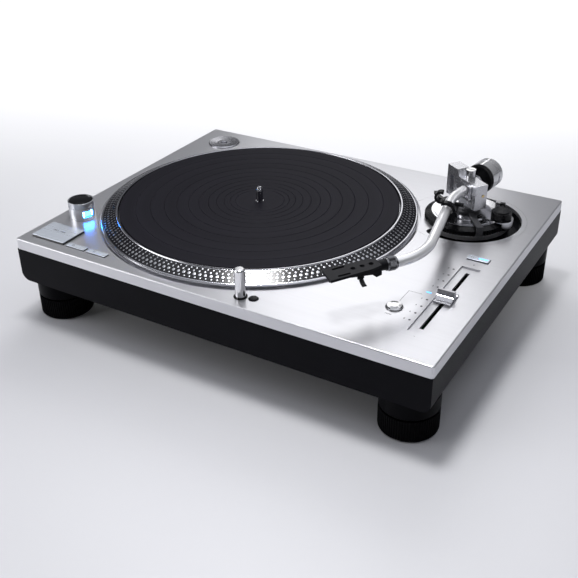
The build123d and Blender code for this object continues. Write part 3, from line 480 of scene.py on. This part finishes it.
@dataclass(frozen=True)
class MatRubber(Finish):
    """Record mat with turned rings.

    Attributes:
        centre: Axis of the rings.
        pitch: Rings per metre.
        waves: Broad changes of tone per metre.
        dust: Cells per metre of its dust.
        groove: Depth of the rings beside the dust.
        shine: Strength of its plain reflections.
    """

    tones: Flat = (0.85, 1.2)
    wear: Flat = (-0.05, 0.05)
    press: float = 0.4
    depth: float = 0.03
    centre: Flat = (0.0, 0.0)
    pitch: float = 900.0
    waves: float = 60.0
    dust: float = 1600.0
    groove: float = 0.7
    shine: float = 0.05

    def paint(self, recipe: Recipe) -> None:
        """Draw fine rings and dust in black rubber."""
        radius = recipe.radius(self.centre)
        rings = recipe.rings(radius, self.pitch)
        waves = recipe.rings(radius, self.waves, Octaves.ONE)
        grooves = recipe.maths("MULTIPLY", rings, self.groove)
        recipe.set(
            Base_Color=self.shades(recipe, recipe.mean(rings, waves)),
            Roughness=self.sheen(recipe, rings),
            Specular_IOR_Level=self.shine,
        )
        height = recipe.maths("ADD", grooves, recipe.noise(self.dust, Octaves.THREE))
        recipe.bump(height, self.press, self.depth)


@dataclass(frozen=True)
class Glow(Finish):
    """Lit lamp or diode.

    Attributes:
        grain: Cells per metre of its uneven lens.
        power: Strength of the light.
    """

    tones: Flat = (1.0, 1.1)
    grain: float = 900.0
    power: float = 5.0

    def paint(self, recipe: Recipe) -> None:
        """Light the surface, with a faintly uneven lens."""
        recipe.set(
            Base_Color=self.shades(recipe, recipe.noise(self.grain)),
            Roughness=self.roughness,
            Emission_Color=self.colour,
            Emission_Strength=self.power,
        )


@dataclass(frozen=True)
class ClearPane(Finish):
    """Clear tinted pane.

    Attributes:
        grain: Cells per metre of its ripple.
        clear: Share of the light that it lets through.
        bend: Index of refraction.
    """

    tones: Flat = (1.0, 1.05)
    press: float = 0.1
    depth: float = 0.01
    grain: float = 300.0
    clear: float = 0.95
    bend: float = 1.46

    def paint(self, recipe: Recipe) -> None:
        """Let light through with a faint ripple."""
        ripple = recipe.noise(self.grain)
        recipe.set(
            Base_Color=self.shades(recipe, ripple),
            Roughness=self.roughness,
            Transmission_Weight=self.clear,
            IOR=self.bend,
        )
        recipe.bump(ripple, self.press, self.depth)


@dataclass(frozen=True)
class Ink(Finish):
    """Printed mark.

    Attributes:
        grain: Cells per metre of its dry patches.
    """

    tones: Flat = (1.0, 1.3)
    wear: Flat = (0.0, 0.1)
    grain: float = 2400.0

    def paint(self, recipe: Recipe) -> None:
        """Draw a dry print with an uneven gloss."""
        grain = recipe.noise(self.grain)
        recipe.set(Base_Color=self.shades(recipe, grain), Roughness=self.sheen(recipe, grain))


class Finishes:
    """Every finish on the turntable."""

    plate = Brushed(
        "plate_brushed",
        "panel_metal",
        (0.66, 0.66, 0.69),
        0.29,
        tones=(0.98, 1.02),
        wear=(0.012, -0.012),
        depth=0.0006,
        metal=0.82,
    )
    cabinet = Moulded(
        "cabinet_paint",
        "cabinet_black",
        (0.005, 0.005, 0.007),
        0.34,
        depth=0.015,
        grain=2200.0,
        shine=0.05,
    )
    bowl = Moulded(
        "bowl_gloss",
        "black_gloss",
        (0.004, 0.004, 0.005),
        0.14,
        depth=0.002,
        grain=700.0,
        shine=0.2,
        coat=0.3,
    )
    black = Moulded(
        "plastic_glossy",
        "black_plastic",
        (0.005, 0.005, 0.006),
        0.26,
        depth=0.01,
        grain=1800.0,
        shine=0.15,
    )
    foot_cap = Moulded(
        "foot_cap_black", "black_plastic", (0.002, 0.002, 0.003), 0.40, depth=0.01, shine=0.04
    )
    foot = Moulded(
        "foot_ribbed",
        "foot_rubber",
        (0.002, 0.002, 0.0025),
        0.55,
        depth=0.03,
        grain=1100.0,
        shine=0.04,
    )
    dial = Moulded(
        "dial_gloss",
        "black_plastic",
        (0.005, 0.005, 0.006),
        0.12,
        depth=0.002,
        grain=700.0,
        shine=0.4,
        coat=0.6,
    )
    lever = Moulded(
        "lever_grey", "black_plastic", (0.06, 0.06, 0.065), 0.3, depth=0.01, grain=1800.0
    )
    ring = Moulded(
        "ring_anodised",
        "black_metal",
        (0.006, 0.006, 0.007),
        0.24,
        depth=0.004,
        grain=900.0,
        shine=0.15,
        coat=0.12,
    )
    shell = Moulded(
        "shell_anodised",
        "black_metal",
        (0.006, 0.006, 0.008),
        0.40,
        depth=0.006,
        grain=2600.0,
        shine=0.12,
    )
    board = Moulded("board_green", "board_plastic", (0.02, 0.14, 0.06), 0.4, grain=400.0)
    mat = MatRubber("mat_ribbed", "mat_rubber", (0.010, 0.0095, 0.013), 0.50, centre=HUB)
    rim = StrobeRim("platter_rim", "platter_metal", (0.60, 0.60, 0.64), 0.22, centre=HUB)
    adapter = Turned(
        "adapter_turned", "platter_metal", (0.62, 0.62, 0.66), 0.24, centre=(-189.0, 141.5)
    )
    # The black sides of the start and speed buttons are partly painted shade in the gap round
    # each button.
    start = Brushed(
        "start_brushed", "button_metal", (0.60, 0.64, 0.71), 0.30, metal=0.5, skirt=PLATE + 2.0
    )
    button = Brushed(
        "button_brushed", "button_metal", (0.60, 0.64, 0.71), 0.30, metal=0.5, skirt=PLATE + 0.8
    )
    steel = Metal("plain_steel", "steel", (0.58, 0.58, 0.59), 0.30)
    spindle = Metal("spindle_steel", "steel", (0.45, 0.45, 0.47), 0.14)
    copper = Metal("winding_copper", "copper", (0.72, 0.36, 0.2), 0.34, depth=0.05)
    iron = Metal("core_iron", "core_iron", (0.16, 0.16, 0.17), 0.55, depth=0.03)
    gold = Metal("socket_gold", "gold", (0.86, 0.66, 0.30), 0.22)
    chrome = Metal("drum_satin", "chrome", (0.78, 0.79, 0.83), 0.26, metal=0.8)
    cap = Metal("cap_chrome", "chrome_cap", (0.66, 0.66, 0.68), 0.10)
    knob = Metal("knob_satin", "chrome_cap", (0.62, 0.63, 0.67), 0.26)
    lamp = Metal("lamp_chrome", "lamp_metal", (0.82, 0.82, 0.84), 0.12)
    slider = Metal("slider_satin", "slider_metal", (0.50, 0.50, 0.53), 0.24)
    dots = Metal("dot_polished", "platter_metal", (0.46, 0.46, 0.49), 0.30)
    collar = Metal("collar_dark", "black_metal", (0.22, 0.22, 0.23), 0.16)
    base = Metal("base_satin", "satin_metal", (0.80, 0.80, 0.83), 0.13)
    gimbal = Metal("gimbal_satin", "satin_metal", (0.64, 0.64, 0.67), 0.24, metal=0.90)
    tube = Metal("tube_polished", "tube_metal", (0.95, 0.95, 0.97), 0.20, metal=0.56)
    weight = Metal("weight_chrome", "weight_metal", (0.92, 0.92, 0.94), 0.10, metal=0.76)
    pane = ClearPane("lamp_pane", "glass", (0.75, 0.86, 1.0), 0.05)
    glow = Glow("lamp_blue", "glass", (0.03, 0.26, 1.0), 0.3, power=420.0)
    diode = Glow("diode_blue", "glass", (0.08, 0.42, 1.0), 0.3, power=2.2)
    ink = Ink("print_black", "black_plastic", (0.03, 0.03, 0.035), 0.5)


class Bench:
    """Modelling steps shared by the sub-assemblies."""

    @staticmethod
    def clear() -> None:
        """Leave edit mode and deselect everything."""
        if bpy.context.mode != "OBJECT":
            bpy.ops.object.mode_set(mode="OBJECT")
        bpy.ops.object.select_all(action="DESELECT")

    @staticmethod
    def take(obj: bpy.types.Object) -> None:
        """Select one object alone and make it active."""
        Bench.clear()
        obj.select_set(True)
        bpy.context.view_layer.objects.active = obj

    @staticmethod
    def settle(obj: bpy.types.Object) -> bpy.types.Object:
        """Move an object's place, turn and scale into its mesh, and return it."""
        Bench.take(obj)
        bpy.ops.object.transform_apply(location=True, rotation=True, scale=True)
        return obj

    @staticmethod
    def ease_top(
        obj: bpy.types.Object, level: float, width: float, segments: int = ROUND_STEPS
    ) -> None:
        """Round the edges that lie over a height.

        Args:
            obj: Settled object to edit.
            level: Height in millimetres that both ends of an edge lie over.
            width: Width of the bevel in millimetres.
            segments: Faces across the bevel.
        """
        Bench.take(obj)
        mesh = obj.data
        for part in (mesh.vertices, mesh.edges, mesh.polygons):
            for item in part:
                item.select = False
        for edge in mesh.edges:
            lowest = min(mesh.vertices[index].co.z for index in edge.vertices)
            edge.select = lowest > level * MM
        bpy.ops.object.mode_set(mode="EDIT")
        bpy.ops.mesh.select_mode(type="EDGE")
        bpy.ops.mesh.bevel(offset=width * MM, segments=segments, affect="EDGES")
        bpy.ops.object.mode_set(mode="OBJECT")

    @staticmethod
    def add_bevel(obj: bpy.types.Object, width: float, angle: float = SHARP) -> str:
        """Add a live bevel of sharp edges.

        Args:
            obj: Object to round.
            width: Width of the bevel in millimetres.
            angle: Smallest angle that counts as sharp, in degrees.

        Returns:
            The modifier's name.
        """
        bevel = obj.modifiers.new("edge", "BEVEL")
        bevel.width = width * MM
        bevel.segments = ROUND_STEPS
        bevel.limit_method = "ANGLE"
        bevel.angle_limit = math.radians(angle)
        return bevel.name

    @staticmethod
    def smooth(obj: bpy.types.Object, angle: float = SHARP) -> None:
        """Shade smooth, but keep edges over an angle sharp."""
        Bench.take(obj)
        bpy.ops.object.shade_smooth_by_angle(angle=math.radians(angle))

    @staticmethod
    def disc(radius: float, centre: Point, thick: float, sides: int = 64) -> bpy.types.Object:
        """Add a round plate standing on its centre point.

        Args:
            radius: Radius in millimetres.
            centre: Middle of its underside.
            thick: Thickness.
            sides: Number of sides.

        Returns:
            The settled plate.
        """
        Bench.clear()
        middle = metres((centre[0], centre[1], centre[2] + thick / 2))
        bpy.ops.mesh.primitive_cylinder_add(
            vertices=sides, radius=radius * MM, depth=thick * MM, location=middle
        )
        return Bench.settle(bpy.context.active_object)

    @staticmethod
    def block(size: Point, centre: Point, turn: float = 0.0) -> bpy.types.Object:
        """Add a block round a centre, turned about Z in degrees, and settle it."""
        Bench.clear()
        angles = (0, 0, math.radians(turn))
        bpy.ops.mesh.primitive_cube_add(size=1.0, location=metres(centre), rotation=angles)
        obj = bpy.context.active_object
        obj.scale = metres(size)
        return Bench.settle(obj)

    @staticmethod
    def bar(size: Point, centre: Point, width: float, turn: float = 0.0) -> bpy.types.Object:
        """Add a block with rounded edges.

        Args:
            size: Size along each axis in millimetres.
            centre: Middle of the block.
            width: Width of its bevel.
            turn: Angle about Z in degrees.

        Returns:
            The settled block, shaded smooth.
        """
        obj = Bench.block(size, centre, turn)
        bpy.ops.object.modifier_apply(modifier=Bench.add_bevel(obj, width))
        Bench.smooth(obj)
        return obj

    @staticmethod
    def copy(obj: bpy.types.Object) -> bpy.types.Object:
        """Return a copy with its own mesh."""
        twin = obj.copy()
        twin.data = obj.data.copy()
        bpy.context.collection.objects.link(twin)
        return twin

    @staticmethod
    def unite(parts: Sequence[bpy.types.Object]) -> bpy.types.Object:
        """Join parts into one settled piece."""
        Bench.clear()
        for part in parts:
            part.select_set(True)
        bpy.context.view_layer.objects.active = parts[0]
        bpy.ops.object.join()
        return Bench.settle(bpy.context.view_layer.objects.active)

    @staticmethod
    def words(text: str, size: float, centre: Point) -> bpy.types.Object:
        """Add flat printed words, centred on a point.

        Args:
            text: Words or numbers to print.
            size: Height of the letters in millimetres.
            centre: Middle of the words on the surface.

        Returns:
            The words as a settled mesh.
        """
        Bench.clear()
        bpy.ops.object.text_add(location=metres(centre))
        obj = bpy.context.active_object
        obj.data.body = text
        obj.data.size = size * MM
        obj.data.align_x = "CENTER"
        obj.data.align_y = "CENTER"
        obj.data.extrude = PRINT * MM / 2
        obj.data.resolution_u = LETTER_STEPS
        bpy.ops.object.convert(target="MESH")
        return Bench.settle(bpy.context.active_object)

    @staticmethod
    def finish(obj: bpy.types.Object, name: str, finish: Finish, body: str) -> None:
        """Name a new piece, paint it and fix it to its body.

        Args:
            obj: The settled piece.
            name: Its final name.
            finish: Its finish.
            body: Body that it rides on.
        """
        obj.name = name
        obj.data.name = name
        obj.data.materials.clear()
        obj.data.materials.append(finish.build())
        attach(obj, body)
        LOG.info("%s rides on %s", name, body)


def dress(finish: Finish, *nodes: str, bevel: float = 0.0) -> None:
    """Paint nodes of the frame, and round their sharp edges if asked.

    Args:
        finish: Their finish.
        nodes: Names of the nodes.
        bevel: Width of a live bevel in millimetres, or 0.
    """
    for node in nodes:
        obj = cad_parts[node]
        obj.data.materials.clear()
        obj.data.materials.append(finish.build())
        if bevel:
            obj.modifiers.new("weld", "WELD").merge_threshold = WELD_GAP * MM
            Bench.add_bevel(obj, bevel, NODE_SHARP)
        LOG.info("%s dressed as %s", node, finish.name)


@dataclass
class Chassis:
    """Plate, cabinet, bottom and feet.

    Attributes:
        corners: Names of the four feet.
    """

    corners: tuple[str, ...] = ("front_left", "front_right", "rear_left", "rear_right")

    def build(self) -> None:
        """Dress the nodes that stand still."""
        dress(Finishes.plate, "top_panel", "arm_panel")
        dress(Finishes.bowl, "arm_bowl")
        dress(Finishes.cabinet, "cabinet", "bottom_cover")
        dress(Finishes.steel, "cover_screws", "motor_plate", "bearing_housing", "ground_post")
        dress(Finishes.iron, "motor_stator", "transformer")
        dress(Finishes.copper, "stator_coils")
        dress(Finishes.board, "circuit_board")
        dress(Finishes.gold, "phono_jacks")
        dress(Finishes.black, "terminal_panel", "mains_inlet", "light_sleeve")
        dress(Finishes.foot_cap, *("foot_cap_" + corner for corner in self.corners))
        dress(Finishes.foot, *("foot_base_" + corner for corner in self.corners))


@dataclass
class Platter:
    """Platter, mat and spindle, with the raised strobe dots.

    Attributes:
        inner: Radius and height over the plate of the slope's upper edge.
        outer: Radius and height over the plate of the slope's lower edge.
        rows: Distance down the slope, width across, length down and count of each row of dots.
        rise: Height of a dot over the slope.
        sides: Number of sides of a dot.
        ease: Height and width of the rounding on a dot one millimetre across.
    """

    inner: Flat = (151.0, 9.7)
    outer: Flat = (165.2, 3.2)
    rows: tuple[tuple[float, float, float, int], ...] = (
        (2.2, 1.5, 1.9, 171),
        (5.2, 1.9, 2.3, 174),
        (8.9, 2.9, 3.1, 180),
        (12.6, 1.7, 1.9, 186),
    )
    rise: float = 0.16
    sides: int = 10
    ease: Flat = (0.4, 0.22)

    def build(self) -> None:
        """Dress the nodes and add the dots."""
        dress(Finishes.rim, "platter")
        dress(Finishes.mat, "platter_mat")
        dress(Finishes.spindle, "spindle")
        dress(Finishes.iron, "rotor_magnet")
        self.dots()

    def dots(self) -> None:
        """Set every row of dots on the slope and join them."""
        pattern = Bench.disc(0.5, (0, 0, -0.5), 1.0, self.sides)
        Bench.ease_top(pattern, *self.ease)
        run, fall = (last - first for first, last in zip(self.inner, self.outer))
        length = math.hypot(run, fall)
        slope = Matrix.Rotation(math.atan2(-fall, run), 4, "Y")
        made = []
        for down, across, along, count in self.rows:
            share = down / length
            reach = Matrix.Translation(metres((self.inner[0] + run * share, 0, 0)))
            level = Matrix.Translation(metres((*HUB, PLATE + self.inner[1] + fall * share)))
            size = Matrix.Diagonal((along, across, self.rise * 2, 1))
            for index in range(count):
                turn = Matrix.Rotation(2 * math.pi * index / count, 4, "Z")
                twin = Bench.copy(pattern)
                twin.matrix_world = level @ turn @ reach @ slope @ size
                made.append(twin)
        bpy.data.objects.remove(pattern)
        piece = Bench.unite(made)
        Bench.smooth(piece, DOT_SHARP)
        Bench.finish(piece, "strobe_dots", Finishes.dots, "platter_body")


@dataclass
class Controls:
    """Knob, lamp, buttons, slider and their printed marks.

    Attributes:
        knob: Centre of the power knob.
        inlay: Radius, thickness and height over the plate of the knob's black top.
        inlay_ease: Height over its underside and width of the black top's rounding.
        lamp: Distance from the knob's axis and height over the plate of the strobe lamp.
        lamp_size: Size of the strobe lamp.
        lamp_turn: Bearing of the strobe lamp in degrees.
        lamp_ease: Rounding of the strobe lamp.
        diodes: Name, size, middle and body of each diode.
        diode_ease: Rounding of a diode.
        print_level: Height over the plate of the middle of a print.
        scale: Middle of the pitch scale.
        ticks: Marks of the pitch scale, counted from its middle.
        tick_step: Distance between two marks.
        tick: Radius and thickness of a mark.
        tick_sides: Number of sides of a mark.
        number: Height of a mark's number, and its distance from the mark.
        labels: Words on the plate, with their height and place.
        lines: Lines on the plate, as length along X and Y and place.
        captions: Name, words, height, middle and body of each print on a button.
    """

    knob: Flat = (-202.0, -104.0)
    inlay: Point = (12.3, 0.25, 18.4)
    inlay_ease: Flat = (0.2, 0.12)
    lamp: Flat = (10.6, 6.6)
    lamp_size: Point = (1.2, 10.0, 5.6)
    lamp_turn: float = -18.0
    lamp_ease: float = 0.5
    diodes: tuple[tuple[str, Point, Point, str], ...] = (
        ("range_diode", (9.0, 1.6, 0.3), (199.6, 7.2, PLATE + 1.45), "range_button_body"),
        ("zero_diode", (4.6, 1.4, 0.3), (177.6, -71.7, PLATE + 0.05), "chassis"),
    )
    diode_ease: float = 0.12
    print_level: float = 0.02
    scale: Flat = (181.0, -71.6)
    ticks: tuple[int, ...] = (-4, -3, -2, -1, 1, 2, 3, 4)
    tick_step: float = 12.55
    tick: Flat = (1.1, 0.06)
    tick_sides: int = 16
    number: Flat = (3.2, 5.0)
    labels: tuple[tuple[str, float, Flat], ...] = (
        ("reset", 3.0, (161.0, -121.5)),
        ("+", 4.5, (194.7, -5.0)),
        ("-", 4.5, (194.7, -142.5)),
    )
    lines: tuple[tuple[Flat, Flat], ...] = (
        ((0.35, 20.0), (160.8, -87.5)),
        ((13.0, 0.35), (167.3, -77.5)),
    )
    captions: tuple[tuple[str, str, float, Point, str], ...] = (
        (
            "start_print",
            "start . stop",
            3.6,
            (-194.5, -146.6, PLATE + 2.63),
            "start_stop_button_body",
        ),
        ("speed_33_print", "33", 3.4, (-163.0, -161.2, PLATE + 1.43), "speed_33_button_body"),
        ("speed_45_print", "45", 3.4, (-136.0, -161.4, PLATE + 1.43), "speed_45_button_body"),
        ("range_print", "x2", 3.4, (189.0, 7.2, PLATE + 1.43), "range_button_body"),
    )

    def build(self) -> None:
        """Dress the controls and add their marks."""
        dress(Finishes.chrome, "strobe_housing")
        dress(Finishes.pane, "strobe_window")
        dress(Finishes.knob, "power_knob")
        dress(Finishes.start, "start_stop_button")
        dress(Finishes.button, "speed_33_button", "speed_45_button", "range_button")
        dress(Finishes.cap, "reset_button")
        dress(Finishes.black, "light_button")
        dress(Finishes.lamp, "target_light")
        dress(Finishes.slider, "pitch_knob")
        dress(Finishes.adapter, "single_adapter")
        self.knob_inlay()
        self.strobe_lamp()
        for name, size, centre, body in self.diodes:
            diode = Bench.bar(size, centre, self.diode_ease)
            Bench.finish(diode, name, Finishes.diode, body)
        self.plate_print()
        for name, text, size, centre, body in self.captions:
            Bench.finish(Bench.words(text, size, centre), name, Finishes.ink, body)

    def knob_inlay(self) -> None:
        """Lay a black gloss disc in the knob's dished top."""
        radius, thick, height = self.inlay
        over, width = self.inlay_ease
        inlay = Bench.disc(radius, (*self.knob, PLATE + height), thick)
        Bench.ease_top(inlay, PLATE + height + over, width)
        Bench.smooth(inlay)
        Bench.finish(inlay, "knob_inlay", Finishes.bowl, "power_knob_body")

    def strobe_lamp(self) -> None:
        """Place the blue lamp behind its window."""
        reach, height = self.lamp
        angle = math.radians(self.lamp_turn)
        x, y = self.knob[0] + reach * math.cos(angle), self.knob[1] + reach * math.sin(angle)
        centre = (x, y, PLATE + height)
        lamp = Bench.bar(self.lamp_size, centre, self.lamp_ease, self.lamp_turn)
        Bench.finish(lamp, "strobe_lamp", Finishes.glow, "chassis")

    def plate_print(self) -> None:
        """Print the pitch scale, words and lines on the plate."""
        level = PLATE + self.print_level
        radius, thick = self.tick
        size, gap = self.number
        parts = []
        for step in self.ticks:
            x, y = self.scale[0], self.scale[1] + self.tick_step * step
            parts.append(Bench.disc(radius, (x, y, PLATE), thick, self.tick_sides))
            parts.append(Bench.words(str(abs(step) * 2), size, (x - gap, y, level)))
        parts += [Bench.words(text, tall, (*place, level)) for text, tall, place in self.labels]
        parts += [Bench.block((*reach, PRINT), (*place, level)) for reach, place in self.lines]
        Bench.finish(Bench.unite(parts), "plate_print", Finishes.ink, "chassis")


@dataclass
class ArmBase:
    """Height ring, base, gimbal, dials and levers.

    Attributes:
        pivot: Axis that the gimbal stands on.
        turn: Angle of the gimbal in degrees.
        screw: Reach, offset and height over the plate of the gilt screw in the gimbal's side.
        screw_size: Radius and length of the screw, and the length sunk in the gimbal.
        screw_ease: Height and width of the rounding of its head.
        screw_sides: Number of sides of the screw.
    """

    pivot: Flat = (152.0, 87.4)
    turn: float = -35.0
    screw: Point = (24.5, -0.6, 34.5)
    screw_size: Point = (1.5, 0.8, 0.3)
    screw_ease: Flat = (0.7, 0.3)
    screw_sides: int = 24

    def build(self) -> None:
        """Dress the arm's fixed and turning supports."""
        dress(Finishes.ring, "height_ring", "lift_bar")
        dress(Finishes.base, "arm_base", bevel=0.3)
        dress(Finishes.gimbal, "gimbal_frame", bevel=0.5)
        dress(Finishes.gimbal, "gimbal_ring", bevel=0.3)
        dress(Finishes.cap, "pivot_screw")
        dress(Finishes.black, "cue_lever", "arm_rest", "arm_clip")
        dress(Finishes.lever, "lock_lever")
        dress(Finishes.dial, "anti_skate_dial")
        self.side_screw()

    def side_screw(self) -> None:
        """Set the gilt bearing screw in the gimbal's right side."""
        reach, offset, height = self.screw
        radius, length, sunk = self.screw_size
        screw = Bench.disc(radius, (0, 0, 0), length, self.screw_sides)
        Bench.ease_top(screw, *self.screw_ease, segments=3)
        screw.matrix_world = (
            Matrix.Translation(metres((*self.pivot, PLATE + height)))
            @ Matrix.Rotation(math.radians(self.turn), 4, "Z")
            @ Matrix.Translation(metres((reach, offset, 0)))
            @ Matrix.Rotation(math.radians(90), 4, "Y")
            @ Matrix.Translation(metres((0, 0, -sunk)))
        )
        Bench.settle(screw)
        Bench.smooth(screw)
        Bench.finish(screw, "gimbal_screw", Finishes.gold, "arm_base_body")


@dataclass
class Arm:
    """S-shaped tube with its headshell and weight."""

    def build(self) -> None:
        """Dress the arm."""
        dress(Finishes.tube, "arm_tube")
        dress(Finishes.collar, "locking_collar")
        dress(Finishes.shell, "headshell")
        dress(Finishes.black, "finger_lift", "weight_dial")
        dress(Finishes.base, "weight_sleeve")
        dress(Finishes.weight, "counterweight")


@dataclass(frozen=True)
class Softbox:
    """Soft rectangular lamp.

    Attributes:
        name: Its name.
        place: Position in millimetres.
        aim: Point that it faces.
        size: Width and height in metres.
        power: Power in watts.
        beam: Angle of the beam in degrees.
        mirrored: Whether glossy surfaces show it.
    """

    name: str
    place: Point
    aim: Point
    size: Flat
    power: float
    beam: float = 180.0
    mirrored: bool = True

    def light(self) -> None:
        """Add the lamp to the scene."""
        Bench.clear()
        bpy.ops.object.light_add(type="AREA", location=metres(self.place))
        lamp = bpy.context.active_object
        lamp.name = self.name
        lamp.data.shape = "RECTANGLE"
        lamp.data.size, lamp.data.size_y = self.size
        lamp.data.energy = self.power
        lamp.data.spread = math.radians(self.beam)
        lamp.visible_glossy = self.mirrored
        way = metres(self.aim) - metres(self.place)
        lamp.rotation_euler = way.to_track_quat("-Z", "Y").to_euler()


@dataclass
class Studio:
    """Camera, floor and soft lights.

    Attributes:
        camera_place: Camera position in millimetres.
        azimuth: Camera's bearing in degrees.
        elevation: Camera's height angle in degrees.
        roll: Camera's roll in degrees.
        lens: Focal length in millimetres.
        sensor: Width of the camera's sensor in millimetres.
        sight: Distance in metres that the camera sees.
        floor_size: Width of the floor in metres.
        floor_colour: Colour of the floor.
        floor_shade: Darkest share of that colour.
        floor_cells: Cloud cells per metre on the floor.
        floor_roughness: Roughness of the floor.
        backdrop: Distances in metres between which the floor turns into a white backdrop.
        backdrop_slant: Share of the distance to the right that is taken off.
        backdrop_light: Light of the backdrop, for the camera alone.
        sky: Colour of the dome.
        dome: Sines of the dome's lower and upper edge, and the light under and over them.
        behind: Start and end of the change from front to back, and the share of light at each.
        softboxes: The lamps.
    """

    camera_place: Point = (425.25, -722.76, 499.04)
    azimuth: float = 31.171
    elevation: float = 30.652
    roll: float = -0.94
    lens: float = 55.69
    sensor: float = 36.0
    sight: float = 50.0
    floor_size: float = 14.0
    floor_colour: Colour = (0.56, 0.56, 0.585)
    floor_shade: float = 0.99
    floor_cells: float = 3.0
    floor_roughness: float = 0.34
    backdrop: Flat = (-0.1, 0.75)
    backdrop_slant: float = 0.4
    backdrop_light: float = 0.6
    sky: Colour = (0.92, 0.94, 1.0)
    dome: tuple[float, float, float, float] = (0.55, 0.85, 0.12, 1.0)
    behind: tuple[float, float, float, float] = (-0.85, -0.25, 0.10, 0.9)
    softboxes: tuple[Softbox, ...] = (
        Softbox("back_softbox", (-492, 1179, 938), (60, -60, 90), (0.68, 0.7), 2.3),
        Softbox("back_fill", (-700, 1500, 1250), (0, 0, 0), (1.3, 0.8), 22, mirrored=False),
        Softbox("top_softbox", (-120, 20, 1500), (170, -290, 80), (0.32, 0.24), 1.9, 60),
        Softbox("left_softbox", (-1500, -1300, 650), (-100, -100, 60), (1.3, 1.0), 15),
    )

    def build(self) -> None:
        """Make the camera, the floor, the world and the lamps."""
        self.camera()
        self.floor()
        self.world()
        for softbox in self.softboxes:
            softbox.light()
        bpy.context.scene.view_settings.view_transform = "Standard"

    def camera(self) -> None:
        """Place the camera at the photograph's angle."""
        turn, rise, roll = map(math.radians, (self.azimuth, self.elevation, self.roll))
        flat = math.cos(rise)
        back = Vector((math.sin(turn) * flat, -math.cos(turn) * flat, math.sin(rise)))
        right = Vector((math.cos(turn), math.sin(turn), 0))
        top = back.cross(right)
        across = right * math.cos(roll) + top * math.sin(roll)
        over = top * math.cos(roll) - right * math.sin(roll)
        axes = Matrix((across, over, back)).transposed()
        Bench.clear()
        bpy.ops.object.camera_add(location=metres(self.camera_place))
        camera = bpy.context.active_object
        camera.name = "studio_camera"
        camera.matrix_world = Matrix.Translation(metres(self.camera_place)) @ axes.to_4x4()
        camera.data.lens = self.lens
        camera.data.sensor_width = self.sensor
        camera.data.sensor_fit = "HORIZONTAL"
        camera.data.clip_end = self.sight
        bpy.context.scene.camera = camera

    def floor(self) -> None:
        """Lay a pale, slightly glossy floor that turns white behind."""
        Bench.clear()
        bpy.ops.mesh.primitive_plane_add(size=self.floor_size, location=(0, 0, 0))
        floor = bpy.context.active_object
        floor.name = "studio_floor"
        recipe = Recipe("floor_pale")
        cloud = recipe.spread(recipe.noise(self.floor_cells), *WHOLE)
        slant = recipe.maths("MULTIPLY", recipe.axis("X"), self.backdrop_slant)
        away = recipe.maths("SUBTRACT", recipe.axis("Y"), slant)
        seen = recipe.add("LightPath").outputs["Is Camera Ray"]
        far = recipe.maths("MULTIPLY", recipe.spread(away, *WHOLE, self.backdrop), seen)
        recipe.set(
            Base_Color=recipe.blend(
                cloud, tint(self.floor_colour, self.floor_shade), self.floor_colour
            ),
            Roughness=self.floor_roughness,
            Emission_Color=(1.0, 1.0, 1.0),
            Emission_Strength=recipe.maths("MULTIPLY", far, self.backdrop_light),
        )
        floor.data.materials.append(recipe.material)

    def world(self) -> None:
        """Light everything from a soft dome over a dark horizon, with white behind."""
        world = bpy.data.worlds.new("studio_world")
        bpy.context.scene.world = world
        world.use_nodes = True
        nodes = Nodes(world.node_tree, "Generated")
        up, back = (
            nodes.spread(nodes.axis(axis), *limits[2:], limits[:2], soft=True)
            for axis, limits in (("Z", self.dome), ("Y", self.behind))
        )
        mix = nodes.add("MixShader")
        nodes.join(nodes.add("LightPath").outputs["Is Camera Ray"], mix.inputs["Fac"])
        lights = ((self.sky, nodes.maths("MULTIPLY", up, back)), ((1.0, 1.0, 1.0), 1.0))
        for index, (colour, strength) in enumerate(lights, start=1):
            light = nodes.add("Background")
            nodes.feed(light.inputs["Color"], colour)
            nodes.feed(light.inputs["Strength"], strength)
            nodes.join(light.outputs["Background"], mix.inputs[index])
        nodes.join(mix.outputs["Shader"], nodes.add("OutputWorld").inputs["Surface"])


def main() -> None:
    """Build the scene in order."""
    logging.basicConfig(level=logging.INFO)
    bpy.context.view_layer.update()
    for part in (Studio(), Chassis(), Platter(), Controls(), ArmBase(), Arm()):
        part.build()
        LOG.info("%s is ready", type(part).__name__)
    Bench.clear()


if __name__ == "__main__":
    main()
